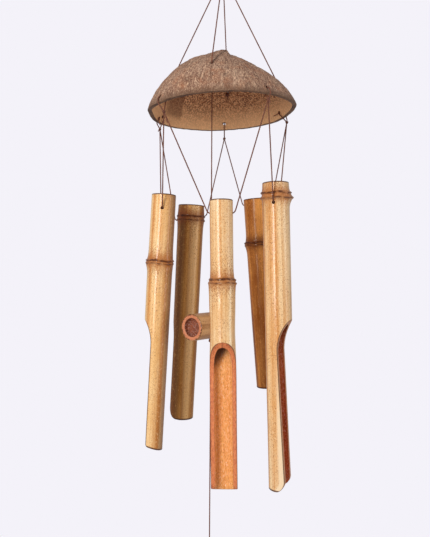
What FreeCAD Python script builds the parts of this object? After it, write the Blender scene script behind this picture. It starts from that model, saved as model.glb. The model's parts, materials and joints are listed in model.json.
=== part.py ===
import FreeCAD, Part
import math
import os
import Sketcher
from FreeCAD import Placement, Rotation, Vector

# Bamboo wind chime: a coconut-shell canopy hangs from a ring on four cords, and five bamboo
# tubes hang under its rim, each in a sling of cord that runs between two rim holes and
# through the tube. A bamboo clapper hangs in the middle, with a disc below to catch the wind.
# Frame: origin at the top of the inside of the hanging ring, where a hook bears. +Z is up,
# +X is to the right and -Y is towards the viewer. Millimetres and degrees.

SIZES = {
    # Hanging ring and the cord loop and knot under it
    "ring_radius": 8.0,
    "ring_wire_radius": 1.0,
    "ring_loop_half_width": 1.9,
    "hanging_knot_drop": 22.0,
    "hanging_knot_radius": 2.8,
    # Cord, and the knots tied in it
    "cord_radius": 0.5,
    "cord_edge_bend": 1.2,
    "cord_hole_radius": 1.3,
    "knot_gap": 0.1,
    "sling_end_gap": 1.3,
    "rim_knot_radius": 1.6,
    "small_knot_radius": 1.6,
    # Coconut shell
    "shell_rim_drop": 133.0,
    "shell_rim_slope": 0.035,
    "shell_height": 44.0,
    "shell_crown_radius": 60.0,
    "shell_shoulder_x": 36.9,
    "shell_shoulder_height": 31.3,
    "shell_side_radius": 72.3,
    "shell_rim_radius": 60.0,
    "shell_skirt": 3.0,
    "shell_skirt_radius": 61.0,
    "shell_wall": 3.2,
    "shell_scar_height": 0.8,
    "shell_scar_radius": 5.0,
    "shell_nub_height": 3.0,
    "shell_nub_radius": 8.0,
    "shell_nub_x": 2.4,
    "shell_nub_y": -18.0,
    # Rim holes, and where the knot of each one hangs
    "rim_hole_height": 4.4,
    "rim_knot_radius_out": 58.2,
    "rim_near_left_azimuth": -143.0,
    "rim_near_left_drop": 7.8,
    "rim_near_left_aside": 3.8,
    "rim_near_right_azimuth": -56.7,
    "rim_near_right_drop": 4.6,
    "rim_near_right_aside": 0.0,
    "rim_right_azimuth": 26.5,
    "rim_right_drop": 4.3,
    "rim_right_aside": -4.4,
    "rim_back_azimuth": 88.0,
    "rim_back_drop": 8.4,
    "rim_back_aside": 0.0,
    "rim_left_azimuth": 155.5,
    "rim_left_drop": 5.8,
    "rim_left_aside": 0.0,
    # Suspension cords: where each one enters the shell
    "hang_front_azimuth": -101.3,
    "hang_front_out": 44.0,
    "hang_right_azimuth": 12.0,
    "hang_right_out": 46.5,
    "hang_back_azimuth": 83.3,
    "hang_back_out": 40.0,
    "hang_left_azimuth": 163.0,
    "hang_left_out": 46.0,
    # Bamboo: wall, node, and the scoop that starts each cut-away
    "bamboo_wall": 2.9,
    "bamboo_edge": 0.5,
    "node_half_length": 3.2,
    "node_bulge": 1.3,
    "node_plug": 3.0,
    "cut_scoop_radius": 37.0,
    "sling_clearance": 1.2,
    # Left tube
    "left_length": 201.9,
    "left_end_slant": 17.0,
    "left_top_radius": 9.6,
    "left_radius": 9.9,
    "left_end_radius": 9.6,
    "left_node_drop": 53.6,
    "left_hole_drop": 11.3,
    "left_hole_level": -211.2,
    "left_cut_drop": 99.0,
    "left_cut_depth": 4.2,
    "left_cut_end_depth": 4.0,
    "left_corner_radius": 2.0,
    # Back left tube
    "back_left_length": 185.7,
    "back_left_top_radius": 11.2,
    "back_left_radius": 11.2,
    "back_left_end_radius": 10.6,
    "back_left_node_drop": 11.4,
    "back_left_hole_drop": 11.6,
    "back_left_hole_level": -215.0,
    "back_left_cut_drop": 92.0,
    "back_left_cut_depth": 1.2,
    "back_left_cut_end_depth": 1.8,
    "back_left_corner_radius": 10.0,
    # Front tube
    "front_length": 212.7,
    "front_end_slant": 20.5,
    "front_top_radius": 8.5,
    "front_radius": 9.7,
    "front_end_radius": 9.6,
    "front_node_drop": 59.3,
    "front_hole_drop": 10.0,
    "front_hole_level": -218.5,
    "front_cut_drop": 102.3,
    "front_cut_depth": 1.0,
    "front_cut_end_depth": 1.2,
    "front_corner_radius": 3.0,
    # Back right tube
    "back_right_length": 164.0,
    "back_right_top_radius": 10.8,
    "back_right_radius": 10.9,
    "back_right_end_radius": 10.5,
    "back_right_node_drop": 38.8,
    "back_right_hole_drop": 7.7,
    "back_right_hole_level": -205.7,
    "back_right_cut_drop": 82.0,
    "back_right_cut_depth": 1.5,
    "back_right_cut_end_depth": 1.8,
    "back_right_corner_radius": 6.0,
    # Right tube
    "right_length": 234.4,
    "right_top_radius": 10.1,
    "right_radius": 10.4,
    "right_end_radius": 10.3,
    "right_node_drop": 10.7,
    "right_hole_drop": 16.2,
    "right_hole_level": -208.7,
    "right_cut_drop": 105.0,
    "right_cut_depth": 1.4,
    "right_cut_end_depth": 4.6,
    "right_corner_radius": 8.0,
    # Clapper, its cord and the knots at its ends
    "crown_knot_radius": 2.2,
    "clapper_cord_top": -95.6,
    "clapper_cord_x": -8.7,
    "clapper_stop_x": -9.8,
    "clapper_level": -304.1,
    "clapper_radius": 10.5,
    "clapper_length": 42.0,
    "clapper_hole_offset": 3.2,
    "clapper_bore_radius": 7.3,
    "clapper_recess": 5.0,
    "clapper_heading": 232.5,
    "clapper_hole_radius": 1.2,
    # Wind catcher and its cord
    "catcher_knot_level": -483.0,
    "catcher_x": -10.9,
    "catcher_knot_radius": 2.0,
    "catcher_radius": 23.0,
    "catcher_thickness": 2.6,
    "catcher_hole_inset": 3.2,
    "catcher_hole_radius": 1.4,
    "catcher_loop_drop": 11.0,
    "catcher_loop_half_width": 3.2,
}

RIM_POINTS = ("near_left", "near_right", "right", "back", "left")
HANG_POINTS = ("front", "right", "back", "left")

# Each tube: its two rim points, how far along from one to the other it hangs, the compass
# heading and slope of the hole through it, its lean towards +X and +Y, how far its own axis
# stands from the hole, and the heading that its cut-away faces.
TUBES = {
    "left": dict(ends=("near_left", "left"), along=0.52, hole_heading=97.9, hole_slope=0.0,
                 lean=(-3.1, -0.2), aside=(1.2, 0.0), cut_heading=186.0),
    "back_left": dict(ends=("left", "back"), along=0.464, hole_heading=4.0, hole_slope=9.0,
                      lean=(-2.9, 1.2), aside=(0.0, 0.0), cut_heading=123.0),
    "front": dict(ends=("near_left", "near_right"), along=0.557, hole_heading=-7.6, hole_slope=0.0,
                  lean=(0.6, -1.4), aside=(0.0, 0.0), cut_heading=-93.0),
    "back_right": dict(ends=("back", "right"), along=0.533, hole_heading=-8.0, hole_slope=-9.0,
                       lean=(4.0, 1.2), aside=(0.0, 0.0), cut_heading=52.0),
    "right": dict(ends=("near_right", "right"), along=0.4, hole_heading=72.5, hole_slope=0.0,
                  lean=(1.2, -0.5), aside=(-0.3, 0.0), cut_heading=-22.0),
}

UP = Vector(0, 0, 1)
WHOLE = 200.0  # longer than any piece that a cut has to pass right through

doc = FreeCAD.newDocument("wind_chime")
sheet = doc.addObject("Spreadsheet::Sheet", "Sizes")
for row, (alias, number) in enumerate(SIZES.items(), start=1):
    sheet.set(f"A{row}", alias)
    sheet.set(f"B{row}", str(number))
    sheet.setAlias(f"B{row}", alias)
doc.recompute()


class Size:
    """A length that knows its value and the sheet expression that gives it."""

    def __init__(self, value, text):
        self.value = value
        self.text = text

    def __add__(self, other):
        other = as_size(other)
        return Size(self.value + other.value, f"({self.text} + {other.text})")

    def __sub__(self, other):
        other = as_size(other)
        return Size(self.value - other.value, f"({self.text} - {other.text})")

    def __mul__(self, other):
        other = as_size(other)
        return Size(self.value * other.value, f"({self.text} * {other.text})")

    def __truediv__(self, other):
        other = as_size(other)
        return Size(self.value / other.value, f"({self.text} / {other.text})")

    def __neg__(self):
        return Size(-self.value, f"(0 - {self.text})")

    def root(self):
        return Size(math.sqrt(self.value), f"sqrt({self.text})")


def as_size(number):
    return number if isinstance(number, Size) else Size(float(number), f"({float(number)})")


def size(alias):
    return Size(float(sheet.get(alias)), f"Sizes.{alias}")


def value(alias):
    return float(sheet.get(alias))


def heading(degrees):
    """The level unit vector that points at this angle from +X towards +Y."""
    return Vector(math.cos(math.radians(degrees)), math.sin(math.radians(degrees)), 0)


# ---------------------------------------------------------------- sketches and bodies

def origin_plane(body, role):
    return next(item for item in body.Origin.OriginFeatures if item.Role == role)


def arc_between(start, end, radius, side):
    """The short arc from start to end that bows to the left of travel if side is 1, else right.

    It is given anticlockwise, as a sketch keeps it, so a left-hand bow runs from end to start.
    """
    along = end - start
    left = Vector(-along.y, along.x, 0).normalize()
    depth = math.sqrt(max(radius ** 2 - (along.Length / 2) ** 2, 0.0))
    centre = (start + end) / 2 - left * depth * side
    angles = [math.atan2(point.y - centre.y, point.x - centre.x) for point in (start, end)]
    if side == 1:
        angles.reverse()
    return Part.ArcOfCircle(Part.Circle(centre, UP, radius), *angles)


def outline(body, name, role, corners, arcs=None, turn=0.0):
    """A closed sketch through the corners, each fixed by the sheet.

    arcs maps the number of an edge to its (radius, side). turn swings the plane about Z.
    """
    arcs = arcs or {}
    sketch = body.newObject("Sketcher::SketchObject", name)
    sketch.AttachmentSupport = [(origin_plane(body, role), "")]
    sketch.MapMode = "FlatFace"
    sketch.AttachmentOffset = Placement(Vector(), Rotation(Vector(0, 1, 0), turn))
    points = [Vector(x.value, y.value, 0) for x, y in corners]
    count = len(points)
    first = []
    last = []
    for i in range(count):
        start, end = points[i], points[(i + 1) % count]
        if i in arcs:
            radius, side = arcs[i]
            sketch.addGeometry(arc_between(start, end, radius.value, side), False)
            swapped = side == 1
        else:
            sketch.addGeometry(Part.LineSegment(start, end), False)
            swapped = False
        first.append(2 if swapped else 1)
        last.append(1 if swapped else 2)
    for i in range(count):
        after = (i + 1) % count
        sketch.addConstraint(Sketcher.Constraint("Coincident", i, last[i], after, first[after]))
    for i, (x, y) in enumerate(corners):
        for kind, coordinate in (("DistanceX", x), ("DistanceY", y)):
            number = sketch.addConstraint(
                Sketcher.Constraint(kind, -1, 1, i, first[i], coordinate.value))
            bind_constraint(sketch, number, f"{kind}{i}", coordinate)
        if i in arcs:
            radius = arcs[i][0]
            number = sketch.addConstraint(Sketcher.Constraint("Radius", i, radius.value))
            bind_constraint(sketch, number, f"Radius{i}", radius)
    return sketch


def bind_constraint(sketch, number, name, length):
    sketch.renameConstraint(number, name)
    sketch.setExpression(f"Constraints.{name}", length.text)


def revolve(body, sketch, name):
    feature = body.newObject("PartDesign::Revolution", name)
    feature.Profile = sketch
    feature.ReferenceAxis = (sketch, ["V_Axis"])
    feature.Angle = 360
    return feature


def cut_through(body, sketch, name):
    """A pocket of the sketch right through the body, half to each side of the plane."""
    doc.recompute()
    before = body.Shape.Volume
    feature = body.newObject("PartDesign::Pocket", name)
    feature.Profile = sketch
    feature.SideType = "Symmetric"
    feature.Length = WHOLE
    doc.recompute()
    if body.Shape.Volume > 0.99999 * before:
        raise RuntimeError(f"{name} cuts nothing from {body.Name}")
    return feature


# ---------------------------------------------------------------- plain primitives

def ball(label, centre, radius):
    piece = doc.addObject("Part::Sphere", label)
    piece.Label = label
    piece.setExpression("Radius", radius.text)
    piece.Placement = Placement(centre, Rotation())
    return piece


def rod(label, start, end, radius):
    """A round bar from start to end, such as a straight cord or the tool that drills a hole."""
    piece = doc.addObject("Part::Cylinder", label)
    piece.Label = label
    piece.setExpression("Radius", radius.text)
    piece.Height = (end - start).Length
    piece.Placement = Placement(start, Rotation(UP, end - start))
    return piece


def drilled(label, base, tools):
    tool = tools[0]
    if len(tools) > 1:
        tool = doc.addObject("Part::MultiFuse", label + "_holes")
        tool.Shapes = tools
    piece = doc.addObject("Part::Cut", label)
    piece.Label = label
    piece.Base = base
    piece.Tool = tool
    return piece


# ---------------------------------------------------------------- cords

def cord(label, points, bends=()):
    """A cord along straight runs joined by tangent arcs, one bend radius for each inner point."""
    radius = value("cord_radius")
    edges = []
    at = points[0]
    for i, bend in enumerate(bends, start=1):
        back = (points[i - 1] - points[i]).normalize()
        ahead = (points[i + 1] - points[i]).normalize()
        turn = math.pi - back.getAngle(ahead)
        reach = bend * math.tan(turn / 2)
        enter = points[i] + back * reach
        leave = points[i] + ahead * reach
        inward = (back + ahead).normalize()
        middle = points[i] + inward * (bend / math.cos(turn / 2) - bend)
        edges.append(Part.LineSegment(at, enter).toShape())
        edges.append(Part.Arc(enter, middle, leave).toShape())
        at = leave
        print(f"{label}: bend radius {bend:.2f}, turn {math.degrees(turn):.0f} degrees")
    edges.append(Part.LineSegment(at, points[-1]).toShape())
    path = Part.Wire(edges)
    along = points[1] - points[0]
    section = Part.Wire([Part.Circle(points[0], along, radius).toShape()])
    shape = path.makePipeShell([section], True, True)
    expected = math.pi * radius ** 2 * path.Length
    if abs(shape.Volume - expected) > 0.01 * expected:
        raise RuntimeError(f"{label} has volume {shape.Volume:.2f}, not {expected:.2f}")
    piece = doc.addObject("Part::Feature", label)
    piece.Label = label
    piece.Shape = shape
    piece.Placement = Placement()
    print(f"{label}: length {path.Length:.1f}")
    return piece


def towards(start, end, distance):
    return start + (end - start).normalize() * distance


def tied_loop(label, knot, knot_radius, corners, bends):
    """A loop of cord that leaves a knot, passes the corners and comes back to the knot.

    Its two ends stop at the knot, or where they would otherwise run into each other.
    """
    spread = (corners[0] - knot).getAngle(corners[-1] - knot)
    apart = (value("cord_radius") + 0.02) / math.sin(spread / 2)
    reach = max(knot_radius + value("knot_gap") / 2, apart)
    route = [towards(knot, corners[0], reach), *corners, towards(knot, corners[-1], reach)]
    return cord(label, route, bends)


# ---------------------------------------------------------------- shell geometry

def rim_level(x):
    """Height of the sloping rim's edge at this x."""
    return -value("shell_rim_drop") + value("shell_rim_slope") * x


def side_centre():
    """Centre of the side arc, in (radius, height above the rim's middle)."""
    turn = math.asin(value("shell_shoulder_x") / value("shell_crown_radius"))
    reach = value("shell_side_radius")
    return (value("shell_shoulder_x") - reach * math.sin(turn),
            value("shell_shoulder_height") - reach * math.cos(turn), turn)


def shell_point(out, heading_degrees):
    """The point on the shell's outside at this distance from the axis, and its normal there."""
    centre_out, centre_height, _ = side_centre()
    reach = value("shell_side_radius")
    height = centre_height + math.sqrt(reach ** 2 - (out - centre_out) ** 2)
    point = heading(heading_degrees) * out + UP * (height - value("shell_rim_drop"))
    normal = (heading(heading_degrees) * (out - centre_out) + UP * (height - centre_height))
    return point, normal.normalize()


def wall_radii(height):
    """Inner and outer radius of the shell at this height above the rim's middle."""
    centre_out, centre_height, _ = side_centre()
    outer = value("shell_side_radius")
    inner = outer - value("shell_wall")
    rise = height - centre_height
    return (centre_out + math.sqrt(inner ** 2 - rise ** 2),
            centre_out + math.sqrt(outer ** 2 - rise ** 2))


class RimPoint:
    """A hole in the shell's rim, and the knot that hangs under it."""

    def __init__(self, name):
        azimuth = value(f"rim_{name}_azimuth")
        self.name = name
        self.out = heading(azimuth)
        across = heading(azimuth + 90)
        middle = self.out * value("shell_rim_radius")
        self.edge_level = rim_level(middle.x)
        self.hole_level = self.edge_level + value("rim_hole_height")
        self.inner, self.outer = wall_radii(self.hole_level + value("shell_rim_drop"))
        self.knot = (self.out * value("rim_knot_radius_out")
                     + across * value(f"rim_{name}_aside")
                     + UP * (self.edge_level - value(f"rim_{name}_drop")))

    def at(self, out, level):
        return self.out * out + UP * level


rim = {name: RimPoint(name) for name in RIM_POINTS}


# ---------------------------------------------------------------- hanging ring, loop and knot

hanging_knot_centre = UP * -value("hanging_knot_drop")


def make_hanger():
    ring = doc.addObject("Part::Torus", "hanging_ring")
    ring.Label = "hanging_ring"
    ring.setExpression("Radius1", size("ring_radius").text)
    ring.setExpression("Radius2", size("ring_wire_radius").text)
    centre_level = value("ring_wire_radius") - value("ring_radius")
    ring.Placement = Placement(UP * centre_level, Rotation(Vector(1, 0, 0), 90))
    wire_level = centre_level - value("ring_radius")
    half = value("ring_loop_half_width")
    low, high = wire_level - 1.0, wire_level + half
    corners = [Vector(0, -half, low), Vector(0, -half, high),
               Vector(0, half, high), Vector(0, half, low)]
    loop = tied_loop("hanging_loop", hanging_knot_centre, value("hanging_knot_radius"),
                     corners, (4.0, half - 0.1, half - 0.1, 4.0))
    knot = ball("hanging_knot", hanging_knot_centre, size("hanging_knot_radius"))
    return [ring, loop, knot]


# ---------------------------------------------------------------- coconut shell

def make_shell_body():
    body = doc.addObject("PartDesign::Body", "shell_blank")
    _, _, turn = side_centre()
    wall = size("shell_wall")
    height = size("shell_height")
    shoulder = (size("shell_shoulder_x"), size("shell_shoulder_height"))
    inner_shoulder = (shoulder[0] - wall * math.sin(turn), shoulder[1] - wall * math.cos(turn))
    skirt = -size("shell_skirt")
    skirt_inner = wall_radii(skirt.value)[0]
    nothing = as_size(0)
    corners = [(nothing, height), shoulder, (size("shell_skirt_radius"), skirt),
               (as_size(skirt_inner), skirt), inner_shoulder, (nothing, height - wall)]
    crown, side = size("shell_crown_radius"), size("shell_side_radius")
    arcs = {0: (crown, 1), 1: (side, 1), 3: (side - wall, -1), 4: (crown - wall, -1)}
    sketch = outline(body, "shell_section", "XZ_Plane", corners, arcs)
    revolve(body, sketch, "shell_turned")
    doc.recompute()

    scar_base = height - wall / 2
    scar_radius, scar_height = size("shell_scar_radius"), size("shell_scar_height")
    scar = outline(body, "scar_section", "XZ_Plane", [
        (nothing, scar_base), (nothing, height + scar_height),
        (scar_radius, height - scar_height / 2), (scar_radius, scar_base)])
    revolve(body, scar, "shell_scar")
    doc.recompute()

    slope = size("shell_rim_slope")
    far = as_size(WHOLE / 2)
    below = outline(body, "rim_slope", "XZ_Plane", [
        (-far, -far), (far, -far), (far, far * slope), (-far, -far * slope)])
    cut_through(body, below, "rim_trimmed")
    body.Placement = Placement(UP * -value("shell_rim_drop"), Rotation())
    return body


def hang_hole(name):
    """Mouth of a suspension hole on the shell's outside, and the direction out of it."""
    return shell_point(value(f"hang_{name}_out"), value(f"hang_{name}_azimuth"))


def make_nub():
    """The low swelling on the shell's top, in front of its middle."""
    x, y = value("shell_nub_x"), value("shell_nub_y")
    crown = value("shell_crown_radius")
    below = crown - math.sqrt(crown ** 2 - x ** 2 - y ** 2)
    foot = Vector(x, y, value("shell_height") - value("shell_rim_drop") - below)
    normal = Vector(x, y, crown - below).normalize()
    sunk = size("shell_wall") / 2
    nub = doc.addObject("Part::Ellipsoid", "shell_nub")
    nub.setExpression("Radius1", (size("shell_nub_height") + sunk).text)
    nub.setExpression("Radius2", size("shell_nub_radius").text)
    nub.setExpression("Radius3", size("shell_nub_radius").text)
    nub.Angle1 = 0
    nub.Placement = Placement(foot - normal * sunk.value, Rotation(UP, normal))
    return nub


def make_shell():
    hole = size("cord_hole_radius")
    tools = []
    for name, point in rim.items():
        tools.append(rod(f"rim_hole_{name}", point.at(point.inner - 3, point.hole_level),
                         point.at(point.outer + 3, point.hole_level), hole))
    for name in HANG_POINTS:
        mouth, normal = hang_hole(name)
        tools.append(rod(f"hang_hole_{name}", mouth - normal * 6, mouth + normal * 3, hole))
    crown = Vector(value("clapper_cord_x"), 0, -value("shell_rim_drop"))
    tools.append(rod("crown_hole", crown + UP * (value("shell_height") - 8),
                     crown + UP * (value("shell_height") + 4), hole))
    whole = doc.addObject("Part::MultiFuse", "shell_with_nub")
    whole.Shapes = [make_shell_body(), make_nub()]
    return drilled("coconut_shell", whole, tools)


# ---------------------------------------------------------------- suspension cords

def make_suspension(name):
    """One of the four cords from the hanging knot to the shell, and the knot that stops it."""
    mouth, normal = hang_hole(name)
    corner = mouth + normal * 1.5
    knot_radius = value("small_knot_radius")
    inside = mouth - normal * (value("shell_wall") + 0.4)
    knot_centre = inside - normal * (knot_radius + 0.05)
    start = towards(hanging_knot_centre, corner, value("hanging_knot_radius") + value("knot_gap"))
    line = cord(f"suspension_cord_{name}", [start, corner, inside], (1.2,))
    knot = ball(f"suspension_knot_{name}", knot_centre, size("small_knot_radius"))
    return [line, knot]


# ---------------------------------------------------------------- rim loops and knots

def make_rim_tie(name):
    """The cord tied through one rim hole and round the edge, and the knot under it."""
    point = rim[name]
    inside = point.at(point.inner - 2.0, point.hole_level)
    outside = point.at(point.outer + 1.6, point.hole_level)
    lip = point.at(value("shell_rim_radius") + 1.3, point.edge_level - 0.5)
    loop = tied_loop(f"rim_loop_{name}", point.knot, value("rim_knot_radius"),
                     [inside, outside, lip], (1.2, 1.2, 1.2))
    knot = ball(f"rim_knot_{name}", point.knot, size("rim_knot_radius"))
    return [loop, knot]


# ---------------------------------------------------------------- bamboo tubes and slings

class Tube:
    """Where a tube hangs: its pivot is the middle of the hole that its sling runs through."""

    def __init__(self, name):
        spec = TUBES[name]
        self.name = name
        self.start, self.end = (rim[end] for end in spec["ends"])
        between = self.start.knot + (self.end.knot - self.start.knot) * spec["along"]
        self.pivot = Vector(between.x, between.y, value(f"{name}_hole_level"))
        level = heading(spec["hole_heading"])
        slope = math.radians(spec["hole_slope"])
        self.hole = level * math.cos(slope) + UP * math.sin(slope)
        lean_x, lean_y = (math.tan(math.radians(lean)) for lean in spec["lean"])
        self.axis = Vector(-lean_x, -lean_y, 1).normalize()
        self.top = (self.pivot + Vector(*spec["aside"], 0)
                    + self.axis * value(f"{name}_hole_drop"))
        square = (level - self.axis * level.dot(self.axis)).normalize()
        self.placement = Placement(self.top, Rotation(square, self.axis.cross(square),
                                                      self.axis, "ZXY"))
        self.cut_turn = spec["cut_heading"] - spec["hole_heading"]
        below_node = value(f"{name}_hole_drop") - value(f"{name}_node_drop")
        self.radius_at_hole = value(f"{name}_radius" if below_node > 0 else f"{name}_top_radius")
        if abs(below_node) < value("node_half_length") + value("cord_hole_radius"):
            self.radius_at_hole += value("node_bulge")


def make_tube_body(tube):
    name = tube.name
    body = doc.addObject("PartDesign::Body", f"tube_{name}_blank")
    wall, edge = size("bamboo_wall"), size("bamboo_edge")
    top, middle, end = (size(f"{name}_{part}radius") for part in ("top_", "", "end_"))
    node, length = -size(f"{name}_node_drop"), size(f"{name}_length")
    half, plug = size("node_half_length"), size("node_plug") / 2
    nothing = as_size(0)
    corners = [
        (nothing, node + plug),
        (top - wall, node + plug),
        (top - wall, nothing),
        (top - edge, nothing),
        (top, -edge),
        (top, node + half),
        (middle + size("node_bulge"), node + half / 4),
        (middle + size("node_bulge"), node - half / 4),
        (middle, node - half),
        (end, edge - length),
        (end - edge, -length),
        (end - wall, -length),
        (middle - wall, node - plug),
        (nothing, node - plug),
    ]
    section = outline(body, f"{name}_section", "XZ_Plane", corners)
    revolve(body, section, f"{name}_turned")
    doc.recompute()

    # The cut-away in side view: a scoop that enters from the outside and turns straight down
    # at its full depth, a straight edge to the end, and a rounded corner on the wall left.
    depth, end_depth = size(f"{name}_cut_depth"), size(f"{name}_cut_end_depth")
    slant = math.tan(math.radians(SIZES.get(f"{name}_end_slant", 0.0)))
    edge_end = (end + end_depth) * slant - length
    scoop, across = size("cut_scoop_radius"), middle - depth
    cut_top = -size(f"{name}_cut_drop")
    cut_full = cut_top - (scoop * across * 2 - across * across).root()
    outside = middle + size("node_bulge") + 2
    corner = size(f"{name}_corner_radius")
    corners = [(outside, cut_top + 3), (middle, cut_top), (depth, cut_full),
               (end_depth, edge_end + corner), (end_depth - corner, edge_end - 0.5)]
    if slant:
        corners.append((end_depth - corner, -length - 1))
    corners.append((outside, corners[-1][1]))
    cut = outline(body, f"{name}_cut", "XZ_Plane", corners,
                  arcs={1: (scoop, -1), 3: (corner * 1.05, 1)}, turn=tube.cut_turn)
    cut_through(body, cut, f"{name}_cut_away")
    if slant:
        trim = outline(body, f"{name}_end", "XZ_Plane", [
            (-end - 2, -length - 2 * slant), (-end - 2, -length - 3),
            (outside, -length - 3), (outside, (outside + end) * slant - length)],
            turn=tube.cut_turn)
        cut_through(body, trim, f"{name}_slanted_end")
    body.Placement = tube.placement
    return body


def make_tube(tube):
    body = make_tube_body(tube)
    reach = tube.radius_at_hole + 8
    tool = rod(f"sling_hole_{tube.name}", tube.pivot - tube.hole * reach,
               tube.pivot + tube.hole * reach, size("cord_hole_radius"))
    return drilled(f"tube_{tube.name}", body, [tool])


def make_sling(tube):
    """The cord from one rim knot, through the tube and up to the next rim knot."""
    reach = tube.radius_at_hole + value("sling_clearance")
    near, far = tube.pivot - tube.hole * reach, tube.pivot + tube.hole * reach
    if (far - tube.end.knot).Length > (near - tube.end.knot).Length:
        near, far = far, near
    gap = value("rim_knot_radius") + value("sling_end_gap")
    route = [towards(tube.start.knot, near, gap), near, far, towards(tube.end.knot, far, gap)]
    bend = value("cord_edge_bend")
    return cord(f"sling_cord_{tube.name}", route, (bend, bend))


# ---------------------------------------------------------------- clapper

clapper_top = Vector(value("clapper_cord_x"), 0, value("clapper_cord_top"))
clapper_stop = Vector(value("clapper_stop_x"), 0,
                      value("clapper_level") - value("clapper_radius")
                      - value("small_knot_radius") - 0.4)


def make_crown_knot():
    """The knot on top of the shell that the clapper cord hangs from, with its end below."""
    radius = value("crown_knot_radius")
    _, _, turn = side_centre()
    x = value("clapper_cord_x")
    crown = value("shell_crown_radius")
    sag = crown - math.sqrt(crown ** 2 - x ** 2)
    level = value("shell_height") - value("shell_rim_drop") - sag + radius + 0.15
    centre = Vector(x, 0, level)
    knot = ball("crown_knot_ball", centre, size("crown_knot_radius"))
    end = clapper_top + UP * (value("small_knot_radius") + value("knot_gap"))
    stub = rod("crown_knot_end", end, centre, size("cord_radius"))
    piece = doc.addObject("Part::MultiFuse", "crown_knot")
    piece.Label = "crown_knot"
    piece.Shapes = [knot, stub]
    return piece


def make_clapper_cord():
    gap = value("small_knot_radius") + value("knot_gap")
    line = cord("clapper_cord", [towards(clapper_top, clapper_stop, gap),
                                 towards(clapper_stop, clapper_top, gap)])
    upper = ball("clapper_cord_knot", clapper_top, size("small_knot_radius"))
    lower = ball("clapper_stop_knot", clapper_stop, size("small_knot_radius"))
    return [line, upper, lower]


def clapper_centre():
    drop = value("clapper_level") - clapper_top.z
    return clapper_top + (clapper_stop - clapper_top) * (drop / (clapper_stop.z - clapper_top.z))


def make_clapper():
    """A short bamboo tube on its side, hollow at both ends, with a plug of bamboo inside."""
    body = doc.addObject("PartDesign::Body", "clapper_blank")
    half, recess = size("clapper_length") / 2, size("clapper_recess")
    radius, bore = size("clapper_radius"), size("clapper_bore_radius")
    edge = size("bamboo_edge")
    nothing = as_size(0)
    section = outline(body, "clapper_section", "XZ_Plane", [
        (nothing, recess - half), (bore, recess - half), (bore, -half), (radius - edge, -half),
        (radius, edge - half), (radius, half - edge), (radius - edge, half), (bore, half),
        (bore, half - recess), (nothing, half - recess)])
    revolve(body, section, "clapper_turned")
    centre = clapper_centre()
    lengthwise = heading(value("clapper_heading"))
    middle = centre + lengthwise * value("clapper_hole_offset")
    body.Placement = Placement(middle, Rotation(UP, lengthwise))
    along = (clapper_stop - clapper_top).normalize() * (value("clapper_radius") + 3)
    hole = rod("clapper_hole", centre - along, centre + along, size("clapper_hole_radius"))
    return drilled("clapper", body, [hole])


# ---------------------------------------------------------------- wind catcher

catcher_knot_centre = Vector(value("catcher_x"), 0, value("catcher_knot_level"))


def make_tail():
    """The cord under the clapper, its end knot and the disc that the wind pushes."""
    gap = value("small_knot_radius") + value("knot_gap")
    end_gap = value("catcher_knot_radius") + 0.05
    line = cord("tail_cord", [towards(clapper_stop, catcher_knot_centre, gap),
                              towards(catcher_knot_centre, clapper_stop, end_gap)])
    knot = ball("catcher_knot", catcher_knot_centre, size("catcher_knot_radius"))
    hole_centre = catcher_knot_centre - UP * value("catcher_loop_drop")
    half = value("catcher_loop_half_width")
    loop = tied_loop("catcher_loop", catcher_knot_centre, value("catcher_knot_radius"),
                     [hole_centre - Vector(0, half, 0), hole_centre + Vector(0, half, 0)],
                     (1.6, 1.6))

    disc = doc.addObject("PartDesign::Body", "catcher_blank")
    sketch = disc.newObject("Sketcher::SketchObject", "catcher_face")
    sketch.AttachmentSupport = [(origin_plane(disc, "XZ_Plane"), "")]
    sketch.MapMode = "FlatFace"
    circles = (("catcher_radius", 0.0), ("catcher_hole_radius", 1.0))
    for i, (alias, _) in enumerate(circles):
        sketch.addGeometry(Part.Circle(Vector(0, i, 0), Vector(0, 0, 1), value(alias)), False)
        bind_constraint(sketch, sketch.addConstraint(
            Sketcher.Constraint("Radius", i, value(alias))), f"Circle{i}", size(alias))
    sketch.addConstraint(Sketcher.Constraint("Coincident", 0, 3, -1, 1))
    sketch.addConstraint(Sketcher.Constraint("PointOnObject", 1, 3, -2))
    rise = size("catcher_radius") - size("catcher_hole_inset")
    bind_constraint(sketch, sketch.addConstraint(
        Sketcher.Constraint("DistanceY", -1, 1, 1, 3, rise.value)), "HoleHeight", rise)
    pad = disc.newObject("PartDesign::Pad", "catcher_pad")
    pad.Profile = sketch
    pad.setExpression("Length", size("catcher_thickness").text)
    pad.SideType = "Symmetric"
    doc.recompute()
    edge = disc.newObject("PartDesign::Chamfer", "catcher_edge")
    rims = [f"Edge{i}" for i, item in enumerate(pad.Shape.Edges, start=1)
            if abs(item.Length - 2 * math.pi * value("catcher_radius")) < 0.1]
    edge.Base = (pad, rims)
    edge.Size = 0.4
    disc.Label = "wind_catcher"
    disc.Placement = Placement(hole_centre - UP * rise.value, Rotation())
    return [line, knot, loop, disc]


# ---------------------------------------------------------------- the whole chime

def make_all():
    pieces = make_hanger()
    pieces.append(make_shell())
    for name in HANG_POINTS:
        pieces += make_suspension(name)
    for name in RIM_POINTS:
        pieces += make_rim_tie(name)
    for name in TUBES:
        tube = Tube(name)
        pieces += [make_tube(tube), make_sling(tube)]
    pieces.append(make_crown_knot())
    pieces += make_clapper_cord()
    pieces.append(make_clapper())
    pieces += make_tail()
    return pieces


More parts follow.
